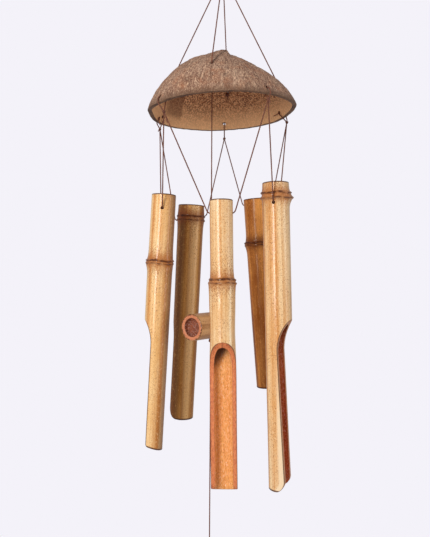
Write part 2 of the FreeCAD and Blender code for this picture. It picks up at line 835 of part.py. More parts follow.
def check_and_write(pieces):
    doc.recompute()
    failed = [item.Name for item in doc.Objects
              if "Invalid" in item.State or "Error" in item.State]
    if failed:
        raise RuntimeError(f"these objects failed: {failed}")
    os.makedirs("parts", exist_ok=True)
    for piece in pieces:
        shape = piece.Shape
        if shape.isNull() or not shape.isValid() or len(shape.Solids) != 1:
            raise RuntimeError(f"{piece.Label} is not one valid solid")
        shape.exportStep(f"parts/{piece.Label}.step")
    print(f"{len(pieces)} sub-parts written")


check_and_write(make_all())
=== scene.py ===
import json
import math

import bmesh
import bpy
import numpy as np
from mathutils import Matrix, Vector, noise


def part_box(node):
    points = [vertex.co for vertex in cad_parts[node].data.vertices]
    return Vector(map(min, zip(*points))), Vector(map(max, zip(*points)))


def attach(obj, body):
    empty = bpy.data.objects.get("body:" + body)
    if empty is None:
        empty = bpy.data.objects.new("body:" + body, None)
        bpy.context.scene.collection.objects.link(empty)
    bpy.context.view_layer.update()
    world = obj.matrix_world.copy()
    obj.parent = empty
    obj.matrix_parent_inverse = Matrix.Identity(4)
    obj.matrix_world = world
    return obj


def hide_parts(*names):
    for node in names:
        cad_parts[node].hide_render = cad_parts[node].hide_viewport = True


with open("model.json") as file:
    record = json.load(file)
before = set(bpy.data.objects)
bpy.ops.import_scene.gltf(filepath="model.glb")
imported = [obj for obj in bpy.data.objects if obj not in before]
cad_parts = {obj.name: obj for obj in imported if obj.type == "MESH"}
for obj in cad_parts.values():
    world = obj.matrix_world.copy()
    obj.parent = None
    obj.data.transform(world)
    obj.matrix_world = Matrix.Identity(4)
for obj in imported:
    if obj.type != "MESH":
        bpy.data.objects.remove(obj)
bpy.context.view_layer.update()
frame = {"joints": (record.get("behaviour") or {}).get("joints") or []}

MM = 0.001
UP = Vector((0, 0, 1))
JOINTS = {joint["name"]: joint for joint in frame["joints"]}


def level_way(angle):
    """The level unit vector at this angle, in radians from +X towards +Y."""
    return Vector((math.cos(angle), math.sin(angle), 0))


def heading(degrees):
    return level_way(math.radians(degrees))


def turns(count):
    """This many even angles round a full turn."""
    return [2 * math.pi * j / count for j in range(count)]


def middle(node):
    """The centre of a CAD node's box at rest."""
    low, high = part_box(node)
    return (low + high) / 2


def smooth_step(low, high, x):
    t = min(max((x - low) / (high - low), 0.0), 1.0)
    return t * t * (3 - 2 * t)


def bell(x, centre, width):
    return math.exp(-((x - centre) / width) ** 2)


def ripple(place, scale, shift=(0, 0, 0)):
    """Smooth noise, from about -1 to 1."""
    return noise.noise(place * scale + Vector(shift))


def add_object(name, data):
    made = bpy.data.objects.new(name, data)
    bpy.context.scene.collection.objects.link(made)
    return made


# ---------------------------------------------------------------- camera

CAMERA_PLACE = Vector((-6.4, -472.0, -258.5)) * MM
CAMERA_LENS_MM = 49.14
CAMERA_SENSOR_MM = 36.0


def make_camera():
    data = bpy.data.cameras.new("camera")
    data.sensor_fit = "HORIZONTAL"
    data.sensor_width = CAMERA_SENSOR_MM
    data.lens = CAMERA_LENS_MM
    data.clip_start = 0.01
    camera = add_object("camera", data)
    camera.location = CAMERA_PLACE
    camera.rotation_euler = (math.radians(90), 0, 0)
    bpy.context.scene.camera = camera


make_camera()


# ---------------------------------------------------------------- materials

def rgb(red, green, blue):
    """A colour given as 0 to 255 sRGB, as the linear values that nodes take."""
    def linear(c):
        c = c / 255
        return c / 12.92 if c <= 0.04045 else ((c + 0.055) / 1.055) ** 2.4
    return (linear(red), linear(green), linear(blue), 1.0)


class Shader:
    """A node material whose colour is built up in layers, over a base colour.

    place names the attribute that its patterns follow; without one they follow the object.
    """

    def __init__(self, name, base, inputs, place=None, shift=(0, 0, 0)):
        self.material = bpy.data.materials.new(name)
        self.material.use_nodes = True
        self.tree = self.material.node_tree
        self.bsdf = self.tree.nodes["Principled BSDF"]
        for key, value in {"Coat Roughness": 0.2, **inputs}.items():
            self.bsdf.inputs[key].default_value = value
        self.colour = base
        self.shift = shift
        self.place = self.attribute(place, "Vector") if place else self.object_place()

    def node(self, kind, **values):
        made = self.tree.nodes.new(kind)
        for key, value in values.items():
            setattr(made, key, value)
        return made

    def feed(self, target, value):
        """Links value into the socket if it is a socket, and sets it if it is plain."""
        if isinstance(value, bpy.types.NodeSocket):
            self.tree.links.new(value, target)
        else:
            target.default_value = value

    def attribute(self, name, socket="Fac"):
        return self.node("ShaderNodeAttribute", attribute_name=name).outputs[socket]

    def object_place(self):
        return self.node("ShaderNodeTexCoord").outputs["Object"]

    def texture(self, kind, output, place=None, stretch=None, shift=None, **inputs):
        """A pattern over place; stretch is the scale along the grain, or along all three axes."""
        made = self.node(kind)
        place = self.place if place is None else place
        if stretch is not None:
            mapping = self.node("ShaderNodeMapping")
            self.feed(mapping.inputs["Vector"], place)
            self.feed(mapping.inputs["Scale"],
                      stretch if isinstance(stretch, tuple) else (1.0, 1.0, stretch))
            self.feed(mapping.inputs["Location"], shift or self.shift)
            place = mapping.outputs["Vector"]
        for key, value in {"Vector": place, **inputs}.items():
            self.feed(made.inputs[key], value)
        return made.outputs[output]

    def noise(self, scale, detail, roughness=0.55, distortion=0.0, **placing):
        return self.texture("ShaderNodeTexNoise", "Fac", Scale=scale, Detail=detail,
                            Roughness=roughness, Distortion=distortion, **placing)

    def ramp(self, value, *stops):
        """Maps value through (position, level) stops."""
        made = self.node("ShaderNodeValToRGB")
        self.feed(made.inputs["Fac"], value)
        elements = made.color_ramp.elements
        while len(elements) < len(stops):
            elements.new(0.5)
        for element, (position, level) in zip(elements, stops):
            element.position = position
            element.color = (level, level, level, 1)
        return made.outputs["Color"]

    def over(self, colour, value, *stops):
        """Lays colour over the layers so far, as strongly as value says through its stops."""
        made = self.node("ShaderNodeMix", data_type="RGBA")
        self.feed(made.inputs[0], self.ramp(value, *stops) if stops else value)
        self.feed(made.inputs[6], self.colour)
        self.feed(made.inputs[7], colour)
        self.colour = made.outputs[2]

    def math(self, operation, first, second):
        made = self.node("ShaderNodeMath", operation=operation)
        self.feed(made.inputs[0], first)
        self.feed(made.inputs[1], second)
        return made.outputs[0]

    def bump(self, height, strength, distance):
        made = self.node("ShaderNodeBump")
        normal = self.bsdf.inputs["Normal"]
        self.feed(made.inputs["Height"], height)
        self.feed(made.inputs["Strength"], strength)
        self.feed(made.inputs["Distance"], distance)
        if normal.is_linked:
            self.feed(made.inputs["Normal"], normal.links[0].from_socket)
        self.feed(normal, made.outputs["Normal"])

    def singe_and_shade_edges(self):
        """The narrow dark line along a sawn edge: partly singe, partly painted shade where the
        edge turns into shadow.
        """
        self.over(rgb(76, 34, 16), self.math("MULTIPLY", self.attribute("edge_line"), 0.9))

    def finish(self, roughness=None):
        self.feed(self.bsdf.inputs["Base Color"], self.colour)
        if roughness is not None:
            self.feed(self.bsdf.inputs["Roughness"], roughness)
        return self.material


STAIN = rgb(146, 80, 34)


def bamboo_skin(name, colours, burnt, seed, coat, light_and_shade_sides=()):
    """The varnished outside of a culm: long fine fibres, brown specks and burnt nodes.

    sides are painted light and shade: each lightens or darkens one side of the culm, and gives
    the angle that it faces, the culm's radius, its colour and the stops of its strength.
    """
    light, main, deep = colours
    s = Shader(name, main, {"Roughness": 0.45, "Coat Weight": coat, "Coat Roughness": 0.17,
                            "Coat Tint": rgb(255, 246, 232), "Specular IOR Level": 0.25,
                            "Specular Tint": rgb(255, 214, 170)},
               "local", (seed * 0.37, seed * 0.21, seed * 0.53))
    fibres = s.noise(1400, 4, stretch=0.035)
    clouds = s.noise(60, 3, stretch=0.35)
    stripes = s.noise(210, 2, 0.6, stretch=0.008)
    s.over(light, clouds, (0.35, 0.0), (0.68, 1.0))
    s.over(deep, s.noise(330, 3, stretch=0.02), (0.42, 0.0), (0.75, 0.55))
    s.over(deep, fibres, (0.45, 0.0), (0.8, 0.5))
    s.over(deep, stripes, (0.46, 0.0), (0.66, 0.8))
    s.over(light, stripes, (0.34, 0.85), (0.46, 0.0))
    # Painted highlight and painted shade on the sides that face towards or away from the lamps.
    for degrees, radius, colour, *stops in light_and_shade_sides:
        toward = s.node("ShaderNodeVectorMath", operation="DOT_PRODUCT")
        s.feed(toward.inputs[0], s.place)
        s.feed(toward.inputs[1], heading(degrees) / (radius * MM))
        s.over(colour, toward.outputs["Value"], *stops)
    near_node = s.math("MULTIPLY", s.attribute("node_reach"), 0.1)
    specks = s.math("ADD", s.noise(1500, 2, 0.7, stretch=0.7), near_node)
    s.over(STAIN, s.math("MULTIPLY", s.ramp(specks, (0.55, 0.0), (0.64, 0.8)),
                         s.ramp(s.noise(110, 2, stretch=0.5), (0.3, 0.35), (0.6, 1.0))))
    s.over(light, s.noise(1100, 2, 0.6, stretch=0.4), (0.56, 0.0), (0.7, 0.45))
    s.over(burnt, s.math("MULTIPLY", s.attribute("node_band"),
                         s.ramp(clouds, (0.2, 0.55), (0.8, 1.0))),
           (0.05, 0.0), (0.6, 0.6), (1.0, 0.85))
    s.over(rgb(72, 26, 10), s.math("MULTIPLY", s.attribute("node_line"),
                                   s.ramp(fibres, (0.3, 0.8), (0.7, 1.0))))
    # Painted highlight: a pale strip along the near edge of the cut-away.
    s.over(rgb(252, 234, 202), s.attribute("painted_highlight_strip"))
    s.singe_and_shade_edges()
    s.bump(fibres, 0.22, 0.00012)
    s.bump(clouds, 0.25, 0.0006)
    return s.finish(s.ramp(clouds, (0.3, 0.36), (0.8, 0.52)))


def bamboo_inside(name, light, deep, seed):
    """The raw inside of a culm: soft pith, torn lengthways."""
    pale = tuple(0.6 * c + 0.4 for c in light[:3]) + (1.0,)
    dark = tuple(0.55 * c for c in deep[:3]) + (1.0,)
    s = Shader(name, light, {"Roughness": 0.78}, "local",
               (seed * 0.11, seed * 0.31, seed * 0.17))
    grain = s.noise(800, 5, 0.65, stretch=0.06)
    torn = s.noise(1300, 4, 0.7, stretch=0.45)
    s.over(deep, grain, (0.35, 0.0), (0.7, 1.0))
    s.over(deep, s.noise(120, 3, stretch=0.25), (0.4, 0.0), (0.75, 0.5))
    s.over(pale, torn, (0.34, 0.75), (0.47, 0.0))
    s.over(dark, torn, (0.52, 0.0), (0.64, 0.7))
    s.over(rgb(70, 34, 18), s.attribute("bore_shade"))
    s.bump(grain, 0.5, 0.0004)
    s.bump(torn, 0.5, 0.0003)
    return s.finish()


def bamboo_cut(name, light, deep, seed):
    """A cut edge of the wall: pale wood with the dark dots and dashes of the fibre bundles."""
    s = Shader(name, light, {"Roughness": 0.62, "Coat Weight": 0.15, "Coat Roughness": 0.35},
               "local", (seed * 0.19, seed * 0.07, seed * 0.41))
    bundles = s.texture("ShaderNodeTexVoronoi", "Distance", stretch=0.3, Scale=1500)
    s.over(deep, s.noise(700, 4, 0.7, stretch=0.5), (0.35, 0.0), (0.7, 1.0))
    s.over(rgb(112, 62, 28), bundles, (0.1, 0.6), (0.38, 0.0))
    s.bump(bundles, 0.25, 0.0002)
    s.singe_and_shade_edges()
    return s.finish()


def coconut_outside():
    """Scraped husk side of the shell: grey-brown, with fibres that run down from the crown."""
    s = Shader("coconut_outside", rgb(150, 108, 84), {"Roughness": 0.85}, "fall")
    place = s.object_place()
    fibres = s.noise(620, 6, 0.7, stretch=0.07)
    coarse = s.noise(150, 4, 0.6, stretch=0.2)
    crossed = s.noise(1350, 4, 0.75, 1.2, stretch=0.3, shift=(4, 1, 2))
    pale = s.noise(1250, 4, 0.75, 1.2, stretch=0.35, shift=(1, 5, 3))
    s.over(rgb(190, 150, 124), s.noise(42, 5, 0.62, place=place), (0.32, 0.0), (0.68, 1.0))
    s.over(rgb(96, 64, 46), fibres, (0.38, 0.0), (0.68, 0.8))
    s.over(rgb(222, 190, 160), coarse, (0.5, 0.0), (0.74, 0.65))
    s.over(rgb(92, 56, 36), crossed, (0.46, 0.0), (0.6, 0.85))
    s.over(rgb(66, 40, 28), s.noise(760, 3, 0.7, place=place), (0.55, 0.0), (0.68, 0.8))
    s.over(rgb(240, 200, 164), pale, (0.51, 0.0), (0.63, 0.85))
    s.over(rgb(170, 104, 62), s.noise(110, 4, 0.7, place=place), (0.5, 0.0), (0.72, 0.5))
    # Darker along the line from the front hole up to the swelling.
    s.over(rgb(70, 44, 32), s.math("MULTIPLY", s.attribute("front_dark_line"), 0.8))
    s.over(rgb(104, 74, 52), s.math("MULTIPLY", s.attribute("rim_edge"), 0.75))
    s.bump(fibres, 0.9, 0.0009)
    s.bump(coarse, 0.8, 0.0015)
    s.bump(crossed, 0.6, 0.0006)
    return s.finish()


def coconut_inside():
    """The inside of the shell, scraped smooth, brown, with a band of painted light towards the
    rim where the lamp lights the far wall.
    """
    s = Shader("coconut_inside", rgb(150, 90, 54),
               {"Roughness": 0.7, "Specular IOR Level": 0.3})
    scrape = s.noise(900, 4, 0.65, place=s.attribute("fall", "Vector"), stretch=(0.4, 0.4, 1.0))
    patches = s.noise(55, 4, 0.6)
    pale = s.noise(900, 3, 0.7, stretch=0.6, shift=(2, 7, 1))
    s.over(rgb(222, 152, 98), patches, (0.35, 0.0), (0.68, 1.0))
    s.over(rgb(116, 70, 42), scrape, (0.42, 0.0), (0.75, 0.6))
    s.over(rgb(92, 48, 26), s.noise(1100, 3, 0.7), (0.44, 0.0), (0.54, 0.8))
    s.over(rgb(250, 190, 136), pale, (0.48, 0.0), (0.57, 0.95))
    # Painted light: the inside made lighter towards the rim, where the lamp reaches the far wall.
    s.over(rgb(255, 202, 146), s.math("MULTIPLY", s.attribute("rim_edge"), 0.8))
    # Painted shadow: the near-left wall's cast shadow on the inside at the left.
    s.over(rgb(112, 66, 38), s.attribute("painted_shadow"))
    s.bump(scrape, 0.4, 0.0005)
    s.bump(patches, 0.3, 0.001)
    return s.finish()


def coconut_edge():
    """The sawn edge of the shell: dense, dark and faintly grained."""
    s = Shader("coconut_edge", rgb(104, 72, 50), {"Roughness": 0.7})
    grain = s.noise(700, 4, 0.6)
    s.over(rgb(150, 112, 80), s.noise(90, 3), (0.35, 0.0), (0.7, 1.0))
    s.over(rgb(64, 42, 30), grain, (0.4, 0.0), (0.75, 0.7))
    s.bump(grain, 0.4, 0.0004)
    return s.finish()


def polished_shell():
    """The wind catcher's sanded and oiled coconut."""
    s = Shader("polished_shell", rgb(92, 58, 36), {"Roughness": 0.38, "Coat Weight": 0.35})
    veins = s.noise(460, 5, 0.65, stretch=0.22)
    clouds = s.noise(70, 4)
    s.over(rgb(132, 88, 56), clouds, (0.35, 0.0), (0.7, 1.0))
    s.over(rgb(54, 32, 20), veins, (0.45, 0.0), (0.72, 0.8))
    s.bump(veins, 0.25, 0.0003)
    return s.finish(s.ramp(clouds, (0.3, 0.32), (0.8, 0.5)))


def twine(name, main, dark):
    """Twisted nylon twine, with a little fuzz in its colour."""
    s = Shader(name, main, {"Roughness": 0.6, "Sheen Weight": 0.1})
    fibre = s.noise(2600, 3, 0.6)
    s.over(dark, fibre, (0.35, 0.0), (0.7, 0.8))
    s.over(rgb(160, 104, 70), s.noise(130, 3), (0.45, 0.0), (0.75, 0.4))
    s.bump(fibre, 0.5, 0.0002)
    return s.finish()


def steel():
    s = Shader("ring_steel", rgb(196, 194, 188), {"Roughness": 0.32, "Metallic": 1.0})
    dull = s.noise(180, 3)
    s.over(rgb(150, 144, 134), dull, (0.4, 0.0), (0.7, 0.6))
    s.bump(s.noise(900, 4, 0.6, stretch=(1.0, 6.0, 1.0)), 0.12, 0.0001)
    return s.finish(s.ramp(dull, (0.35, 0.26), (0.75, 0.5)))


TWINE = twine("twine", rgb(126, 66, 40), rgb(54, 30, 20))
KNOT_TWINE = twine("knot_twine", rgb(128, 70, 44), rgb(52, 30, 22))


# ---------------------------------------------------------------- mesh helpers

class Sheets:
    """Gathers grids of points into one mesh, with a material and attributes for each grid."""

    def __init__(self):
        self.points, self.faces, self.face_materials, self.extra = [], [], [], {}

    def grid(self, rows, material=0, closed=False, **extra):
        """rows of equal length; extra gives a value for each point, in the same rows."""
        width, first = len(rows[0]), len(self.points)
        for row in rows:
            self.points.extend(row)
        for key, values in extra.items():
            flat = [value for row in values for value in row]
            self.extra.setdefault(key, {}).update(enumerate(flat, first))
        for i in range(len(rows) - 1):
            for j in range(width if closed else width - 1):
                a = first + i * width + j
                b = first + i * width + (j + 1) % width
                self.faces.append((a, b, b + width, a + width))
                self.face_materials.append(material)


def add_mesh(name, sheets, materials):
    """A smooth mesh object in the row frame, with the sheets' attributes on its points."""
    mesh = bpy.data.meshes.new(name)
    mesh.from_pydata([tuple(point) for point in sheets.points], [], sheets.faces)
    for material in materials:
        mesh.materials.append(material)
    mesh.polygons.foreach_set("material_index", sheets.face_materials)
    for key, found in sheets.extra.items():
        values = np.array([found.get(i, 0.0) for i in range(len(sheets.points))], np.float32)
        kind, field = ("FLOAT_VECTOR", "vector") if values.ndim == 2 else ("FLOAT", "value")
        mesh.attributes.new(key, kind, "POINT").data.foreach_set(field, values.ravel())
    mesh.polygons.foreach_set("use_smooth", [True] * len(mesh.polygons))
    mesh.validate()
    mesh.update()
    return add_object(name, mesh)


def weld(piece, distance):
    """Joins points that lie together, and turns every face outwards."""
    work = bmesh.new()
    work.from_mesh(piece.data)
    bmesh.ops.remove_doubles(work, verts=work.verts, dist=distance)
    bmesh.ops.dissolve_degenerate(work, edges=work.edges, dist=distance / 2)
    bmesh.ops.recalc_face_normals(work, faces=work.faces)
    work.to_mesh(piece.data)
    work.free()
    piece.data.update()


def drill(piece, holes):
    """Cuts round holes, each (start, end, radius), through a closed mesh."""
    cutter = bmesh.new()
    for start, end, radius in holes:
        turn = (end - start).to_track_quat("Z", "Y").to_matrix().to_4x4()
        bmesh.ops.create_cone(cutter, cap_ends=True, segments=20, radius1=radius, radius2=radius,
                              depth=(end - start).length,
                              matrix=Matrix.Translation((start + end) / 2) @ turn)
    mesh = bpy.data.meshes.new("cutter")
    cutter.to_mesh(mesh)
    cutter.free()
    tool = add_object("cutter", mesh)
    modifier = piece.modifiers.new("holes", "BOOLEAN")
    modifier.object = tool
    modifier.operation = "DIFFERENCE"
    modifier.solver = "EXACT"
    graph = bpy.context.evaluated_depsgraph_get()
    cut = bpy.data.meshes.new_from_object(piece.evaluated_get(graph),
                                          preserve_all_data_layers=True, depsgraph=graph)
    piece.modifiers.clear()
    piece.data = cut
    bpy.data.objects.remove(tool)
    bpy.data.meshes.remove(mesh)


def add_piece(name, sheets, materials, body, node, near=1e-7, holes=()):
    """A finished piece that rides on a CAD body and stands for a CAD node."""
    piece = add_mesh(name, sheets, materials)
    weld(piece, near)
    if holes:
        drill(piece, holes)
    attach(piece, body)
    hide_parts(node)
    return piece


# ---------------------------------------------------------------- cords

CORD_DIAMETER = 1.0 * MM
STRANDS = 3
STRAND_RADIUS = 0.27 * MM
STRAND_OFFSET = 0.25 * MM
STRAND_PITCH = 4.2 * MM
STEPS_PER_PITCH = 8
NEAR_CORNER = 6 * CORD_DIAMETER


def spline_points(route):
    """Points along the route's own smooth NURBS line."""
    data = bpy.data.curves.new("route", "CURVE")
    data.dimensions = "3D"
    data.resolution_u = 10
    spline = data.splines.new("NURBS")
    spline.points.add(len(route) - 1)
    for point, place in zip(spline.points, route):
        point.co = (*place, 1.0)
    spline.order_u = 3
    spline.use_endpoint_u = True
    line = bpy.data.objects.new("route", data)
    mesh = bpy.data.meshes.new_from_object(line)
    points = [v.co.copy() for v in mesh.vertices]
    bpy.data.objects.remove(line)
    bpy.data.meshes.remove(mesh)
    bpy.data.curves.remove(data)
    return points


def even_points(points, step):
    """The same line again, with points at even steps along it."""
    lengths = [0.0]
    for a, b in zip(points, points[1:]):
        lengths.append(lengths[-1] + (b - a).length)
    count = max(int(round(lengths[-1] / step)), 2)
    found, at = [], 0
    for i in range(count + 1):
        target = lengths[-1] * i / count
        while at < len(points) - 2 and lengths[at + 1] < target:
            at += 1
        span = max(lengths[at + 1] - lengths[at], 1e-9)
        found.append(points[at].lerp(points[at + 1], min((target - lengths[at]) / span, 1.0)))
    return found


def frames_along(points):
    """(point, side, other side) along a line, turning as little as they can."""
    tangents = [(points[min(i + 1, len(points) - 1)] - points[max(i - 1, 0)]).normalized()
                for i in range(len(points))]
    side = tangents[0].orthogonal().normalized()
    frames = []
    for point, tangent in zip(points, tangents):
        side = (side - tangent * side.dot(tangent)).normalized()
        frames.append((point, side, tangent.cross(side)))
    return frames


def beside(along, angle, distance):
    """The point this far to one side of a line, at this angle round it."""
    point, side, other = along
    return point + (side * math.cos(angle) + other * math.sin(angle)) * distance


def tube_rows(points, radius, around):
    """Rings of points round a line, for a tube along it."""
    return [[beside(along, angle, radius) for angle in turns(around)]
            for along in frames_along(points)]


def closed_tube(sheets, points, radius, around=6):
    """Adds a tube along points, with a rounded cap at each end."""
    rows = tube_rows(points, radius, around)
    caps = [[end + (corner - end) * 0.55 for corner in row]
            for end, row in ((points[0], rows[0]), (points[-1], rows[-1]))]
    sheets.grid([[points[0]] * around, caps[0], *rows, caps[1], [points[-1]] * around],
                closed=True)


def twist(route):
    """Three strands twisted round the route's smooth line. Returns the sheets and that line."""
    line = even_points(spline_points(route), STRAND_PITCH / STEPS_PER_PITCH)
    frames = frames_along(line)
    sheets = Sheets()
    for strand in range(STRANDS):
        closed_tube(sheets, [beside(along, 2 * math.pi * (i / STEPS_PER_PITCH + strand / STRANDS),
                                    STRAND_OFFSET) for i, along in enumerate(frames)],
                    STRAND_RADIUS)
    return sheets, line


def free_cord(node, body, route):
    """A cord of twine that replaces its CAD node."""
    sheets, line = twist(route)
    piece = add_piece(node.replace("cord", "twine"), sheets, [TWINE], body, node)


def towards(start, end, distance):
    return start + (end - start).normalized() * distance


# Each sling's two rim points, and half the width of the tube at its cross hole, in mm.
SLINGS = {
    "left": ("near_left", "left", 10.8),
    "back_left": ("left", "back", 13.7),
    "front": ("near_left", "near_right", 9.7),
    "back_right": ("back", "right", 12.0),
    "right": ("near_right", "right", 11.6),
}
OUT_OF_KNOT = 1.2 * MM


def make_sling_cord(name, first, second, reach):
    """From one rim knot through the tube's cross hole and up to the next rim knot."""
    joint = JOINTS[f"tube_{name}_rock"]
    pivot = Vector(joint["pos_m"])
    hole = Vector(joint["axis"]).normalized() * reach * MM
    start, end = middle(f"rim_knot_{first}"), middle(f"rim_knot_{second}")
    near, far = pivot - hole, pivot + hole
    if (far - end).length > (near - end).length:
        near, far = far, near
    route = [towards(start, near, OUT_OF_KNOT), towards(near, start, NEAR_CORNER), near,
             towards(near, far, NEAR_CORNER), towards(far, near, NEAR_CORNER), far,
             towards(far, end, NEAR_CORNER), towards(end, far, OUT_OF_KNOT)]
    free_cord(f"sling_cord_{name}", f"sling_{name}", route)


SHELL_RIM_LEVEL = -133.0 * MM
SHELL_RIM_SLOPE = 0.035
SHELL_RIM_RADIUS = 60.0 * MM
SHELL_HEIGHT = 44.0 * MM
SHELL_CROWN_RADIUS = 60.0 * MM
SHELL_SHOULDER = (36.9 * MM, 31.3 * MM)
SHELL_SIDE_RADIUS = 72.3 * MM
SHELL_WALL = 3.2 * MM
SHOULDER_TURN = math.asin(SHELL_SHOULDER[0] / SHELL_CROWN_RADIUS)
SIDE_CENTRE = (SHELL_SHOULDER[0] - SHELL_SIDE_RADIUS * math.sin(SHOULDER_TURN),
               SHELL_SHOULDER[1] - SHELL_SIDE_RADIUS * math.cos(SHOULDER_TURN))
# Distance out from the middle in mm, and azimuth.
HANG_HOLES = {"front": (44.0, -101.3), "right": (46.5, 12.0), "back": (40.0, 83.3),
              "left": (46.0, 163.0)}
RIM_HOLES = {"near_left": -143.0, "near_right": -56.7, "right": 26.5, "back": 88.0,
             "left": 155.5}
RIM_HOLE_HEIGHT = 4.4 * MM


def hang_hole(name):
    """Where a suspension cord enters the shell's outside, and the way out of the hole there."""
    out, azimuth = HANG_HOLES[name]
    out = out * MM
    height = SIDE_CENTRE[1] + math.sqrt(SHELL_SIDE_RADIUS ** 2 - (out - SIDE_CENTRE[0]) ** 2)
    mouth = heading(azimuth) * out + UP * (height + SHELL_RIM_LEVEL)
    normal = heading(azimuth) * (out - SIDE_CENTRE[0]) + UP * (height - SIDE_CENTRE[1])
    return mouth, normal.normalized()


HANGING_KNOT = middle("hanging_knot")
CLAPPER_TOP = middle("clapper_cord_knot")
CLAPPER_STOP = middle("clapper_stop_knot")
CATCHER_KNOT = middle("catcher_knot")


def make_suspension_cord(name):
    mouth, normal = hang_hole(name)
    corner = mouth + normal * 1.5 * MM
    inside = mouth - normal * (SHELL_WALL + 0.4 * MM)
    free_cord(f"suspension_cord_{name}", "canopy",
              [towards(HANGING_KNOT, corner, 1.5 * MM),
               towards(corner, HANGING_KNOT, NEAR_CORNER), corner, inside])


def make_straight_cord(node, body, top, bottom):
    free_cord(node, body, [towards(top, bottom, 1.0 * MM), top.lerp(bottom, 0.35),
                           top.lerp(bottom, 0.7), towards(bottom, top, 1.0 * MM)])


for sling_name, sling in SLINGS.items():
    make_sling_cord(sling_name, *sling)
for hang_name in HANG_HOLES:
    make_suspension_cord(hang_name)
make_straight_cord("clapper_cord", "clapper_line", CLAPPER_TOP, CLAPPER_STOP)
make_straight_cord("tail_cord", "tail", CLAPPER_STOP, CATCHER_KNOT)


# ---------------------------------------------------------------- knots, loops and the ring

def trefoil(centre, size, turn):
    """Points round a closed overhand knot of this size."""
    rotate = Matrix.Rotation(turn[0], 3, "X") @ Matrix.Rotation(turn[1], 3, "Y")
    return [centre + rotate @ Vector((math.sin(t) + 2 * math.sin(2 * t),
                                      math.cos(t) - 2 * math.cos(2 * t),
                                      -1.6 * math.sin(3 * t))) * (size / 3)
            for t in turns(48)]


def lumpy_core(sheets, centre, radius, seed):
    rows = []
    for i in range(9):
        polar = math.pi * i / 8
        ways = [Vector((math.sin(polar) * math.cos(around), math.sin(polar) * math.sin(around),
                        math.cos(polar))) for around in turns(12)]
        rows.append([centre + way * radius * (1 + 0.12 * ripple(way, 2.2, (seed, 0, 0)))
                     for way in ways])
    sheets.grid(rows, closed=True)


def tie_knot(sheets, centre, radius, seed, tails=()):
    """A tight knot: two interlaced turns of twine round a core, with cut ends where given."""
    lumpy_core(sheets, centre, radius * 0.62, seed)
    for k, turn in enumerate(((0.4 + seed, 0.3), (1.9 + seed, 1.2 + seed))):
        loop = trefoil(centre, radius * (0.98 - 0.1 * k), turn)
        loop.append(loop[0])
        sheets.grid(tube_rows(loop, 0.27 * radius, 8), closed=True)
    for direction, length in tails:
        way = Vector(direction).normalized()
        bend = UP.cross(way) * 0.12 * length * MM - UP * 0.1 * length * MM
        start = centre + way * radius * 0.6
        closed_tube(sheets, spline_points([start, start + way * length * 0.5 * MM,
                                           start + way * length * MM + bend]), 0.45 * MM)


def make_knot(node, body, seed, tails=(), tight=1.0):
    """The knot of a CAD node, drawn up a little smaller than its ball where tight is under 1."""
    low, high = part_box(node)
    full = (high.x - low.x) / 2
    centre = Vector(((low.x + high.x) / 2, (low.y + high.y) / 2, high.z - full))
    sheets = Sheets()
    tie_knot(sheets, centre, full * tight, seed, tails)
    add_piece(node.replace("knot", "tied_knot"), sheets, [KNOT_TWINE], body, node)


def make_loop(node, body, route, name, inner_knot=None):
    """A short tied loop of the same twine, too short to be a free cord."""
    add_piece(name, twist(route)[0], [TWINE], body, node)
    if inner_knot:
        sheets = Sheets()
        tie_knot(sheets, *inner_knot)
        add_piece(name + "_stop", sheets, [KNOT_TWINE], body, node)


def shell_rim_level(x):
    return SHELL_RIM_LEVEL + SHELL_RIM_SLOPE * x


def wall_radius(height, inside=False):
    """Radius of the shell's side at this height above the middle of its rim."""
    reach = SHELL_SIDE_RADIUS - (SHELL_WALL if inside else 0)
    return SIDE_CENTRE[0] + math.sqrt(reach ** 2 - (height - SIDE_CENTRE[1]) ** 2)


# The knots that stop the twine on the inside of two of the rim holes:
# azimuth, distance out from the middle, height over the rim, radius and cut ends.
INNER_KNOTS = {
    "right": (27.0, 55.6, 4.6, 1.9, [((-0.95, 0.1, -0.35), 5.5)]),
    "left": (161.0, 57.2, 1.6, 1.8, [((0.3, -0.4, -0.9), 5.0)]),
}
RIM_KNOT_TAILS = {
    "near_left": [((0.35, 0.3, -0.9), 7.0)],
    "near_right": [((0.5, -0.3, -0.8), 2.0)],
    "left": [((-0.5, -0.4, -0.7), 2.0)],
}


def make_rim_loop(name):
    """Out through the rim hole, round under the rim's edge and back to the knot."""
    out = heading(RIM_HOLES[name])
    edge = shell_rim_level(out.x * SHELL_RIM_RADIUS)
    hole_level = edge + RIM_HOLE_HEIGHT
    height = hole_level - SHELL_RIM_LEVEL
    knot = middle(f"rim_knot_{name}")
    inside = out * (wall_radius(height, True) - 2.0 * MM) + UP * hole_level
    outside = out * (wall_radius(height) + 1.6 * MM) + UP * hole_level
    lip = out * (SHELL_RIM_RADIUS + 1.3 * MM) + UP * (edge - 0.5 * MM)
    inner_knot = None
    if name in INNER_KNOTS:
        azimuth, far, above, radius, tails = INNER_KNOTS[name]
        centre = heading(azimuth) * far * MM + UP * (edge + above * MM)
        inner_knot = (centre, radius * MM, 2.7, tails)
    make_loop(f"rim_loop_{name}", "canopy",
              [knot, towards(inside, knot, 2.5 * MM), inside, outside, lip,
               towards(lip, knot, 2.0 * MM), knot], f"rim_tie_{name}", inner_knot)


RING_WIRE_RADIUS = 1.0 * MM
LOOP_HALF_WIDTH = 1.9 * MM


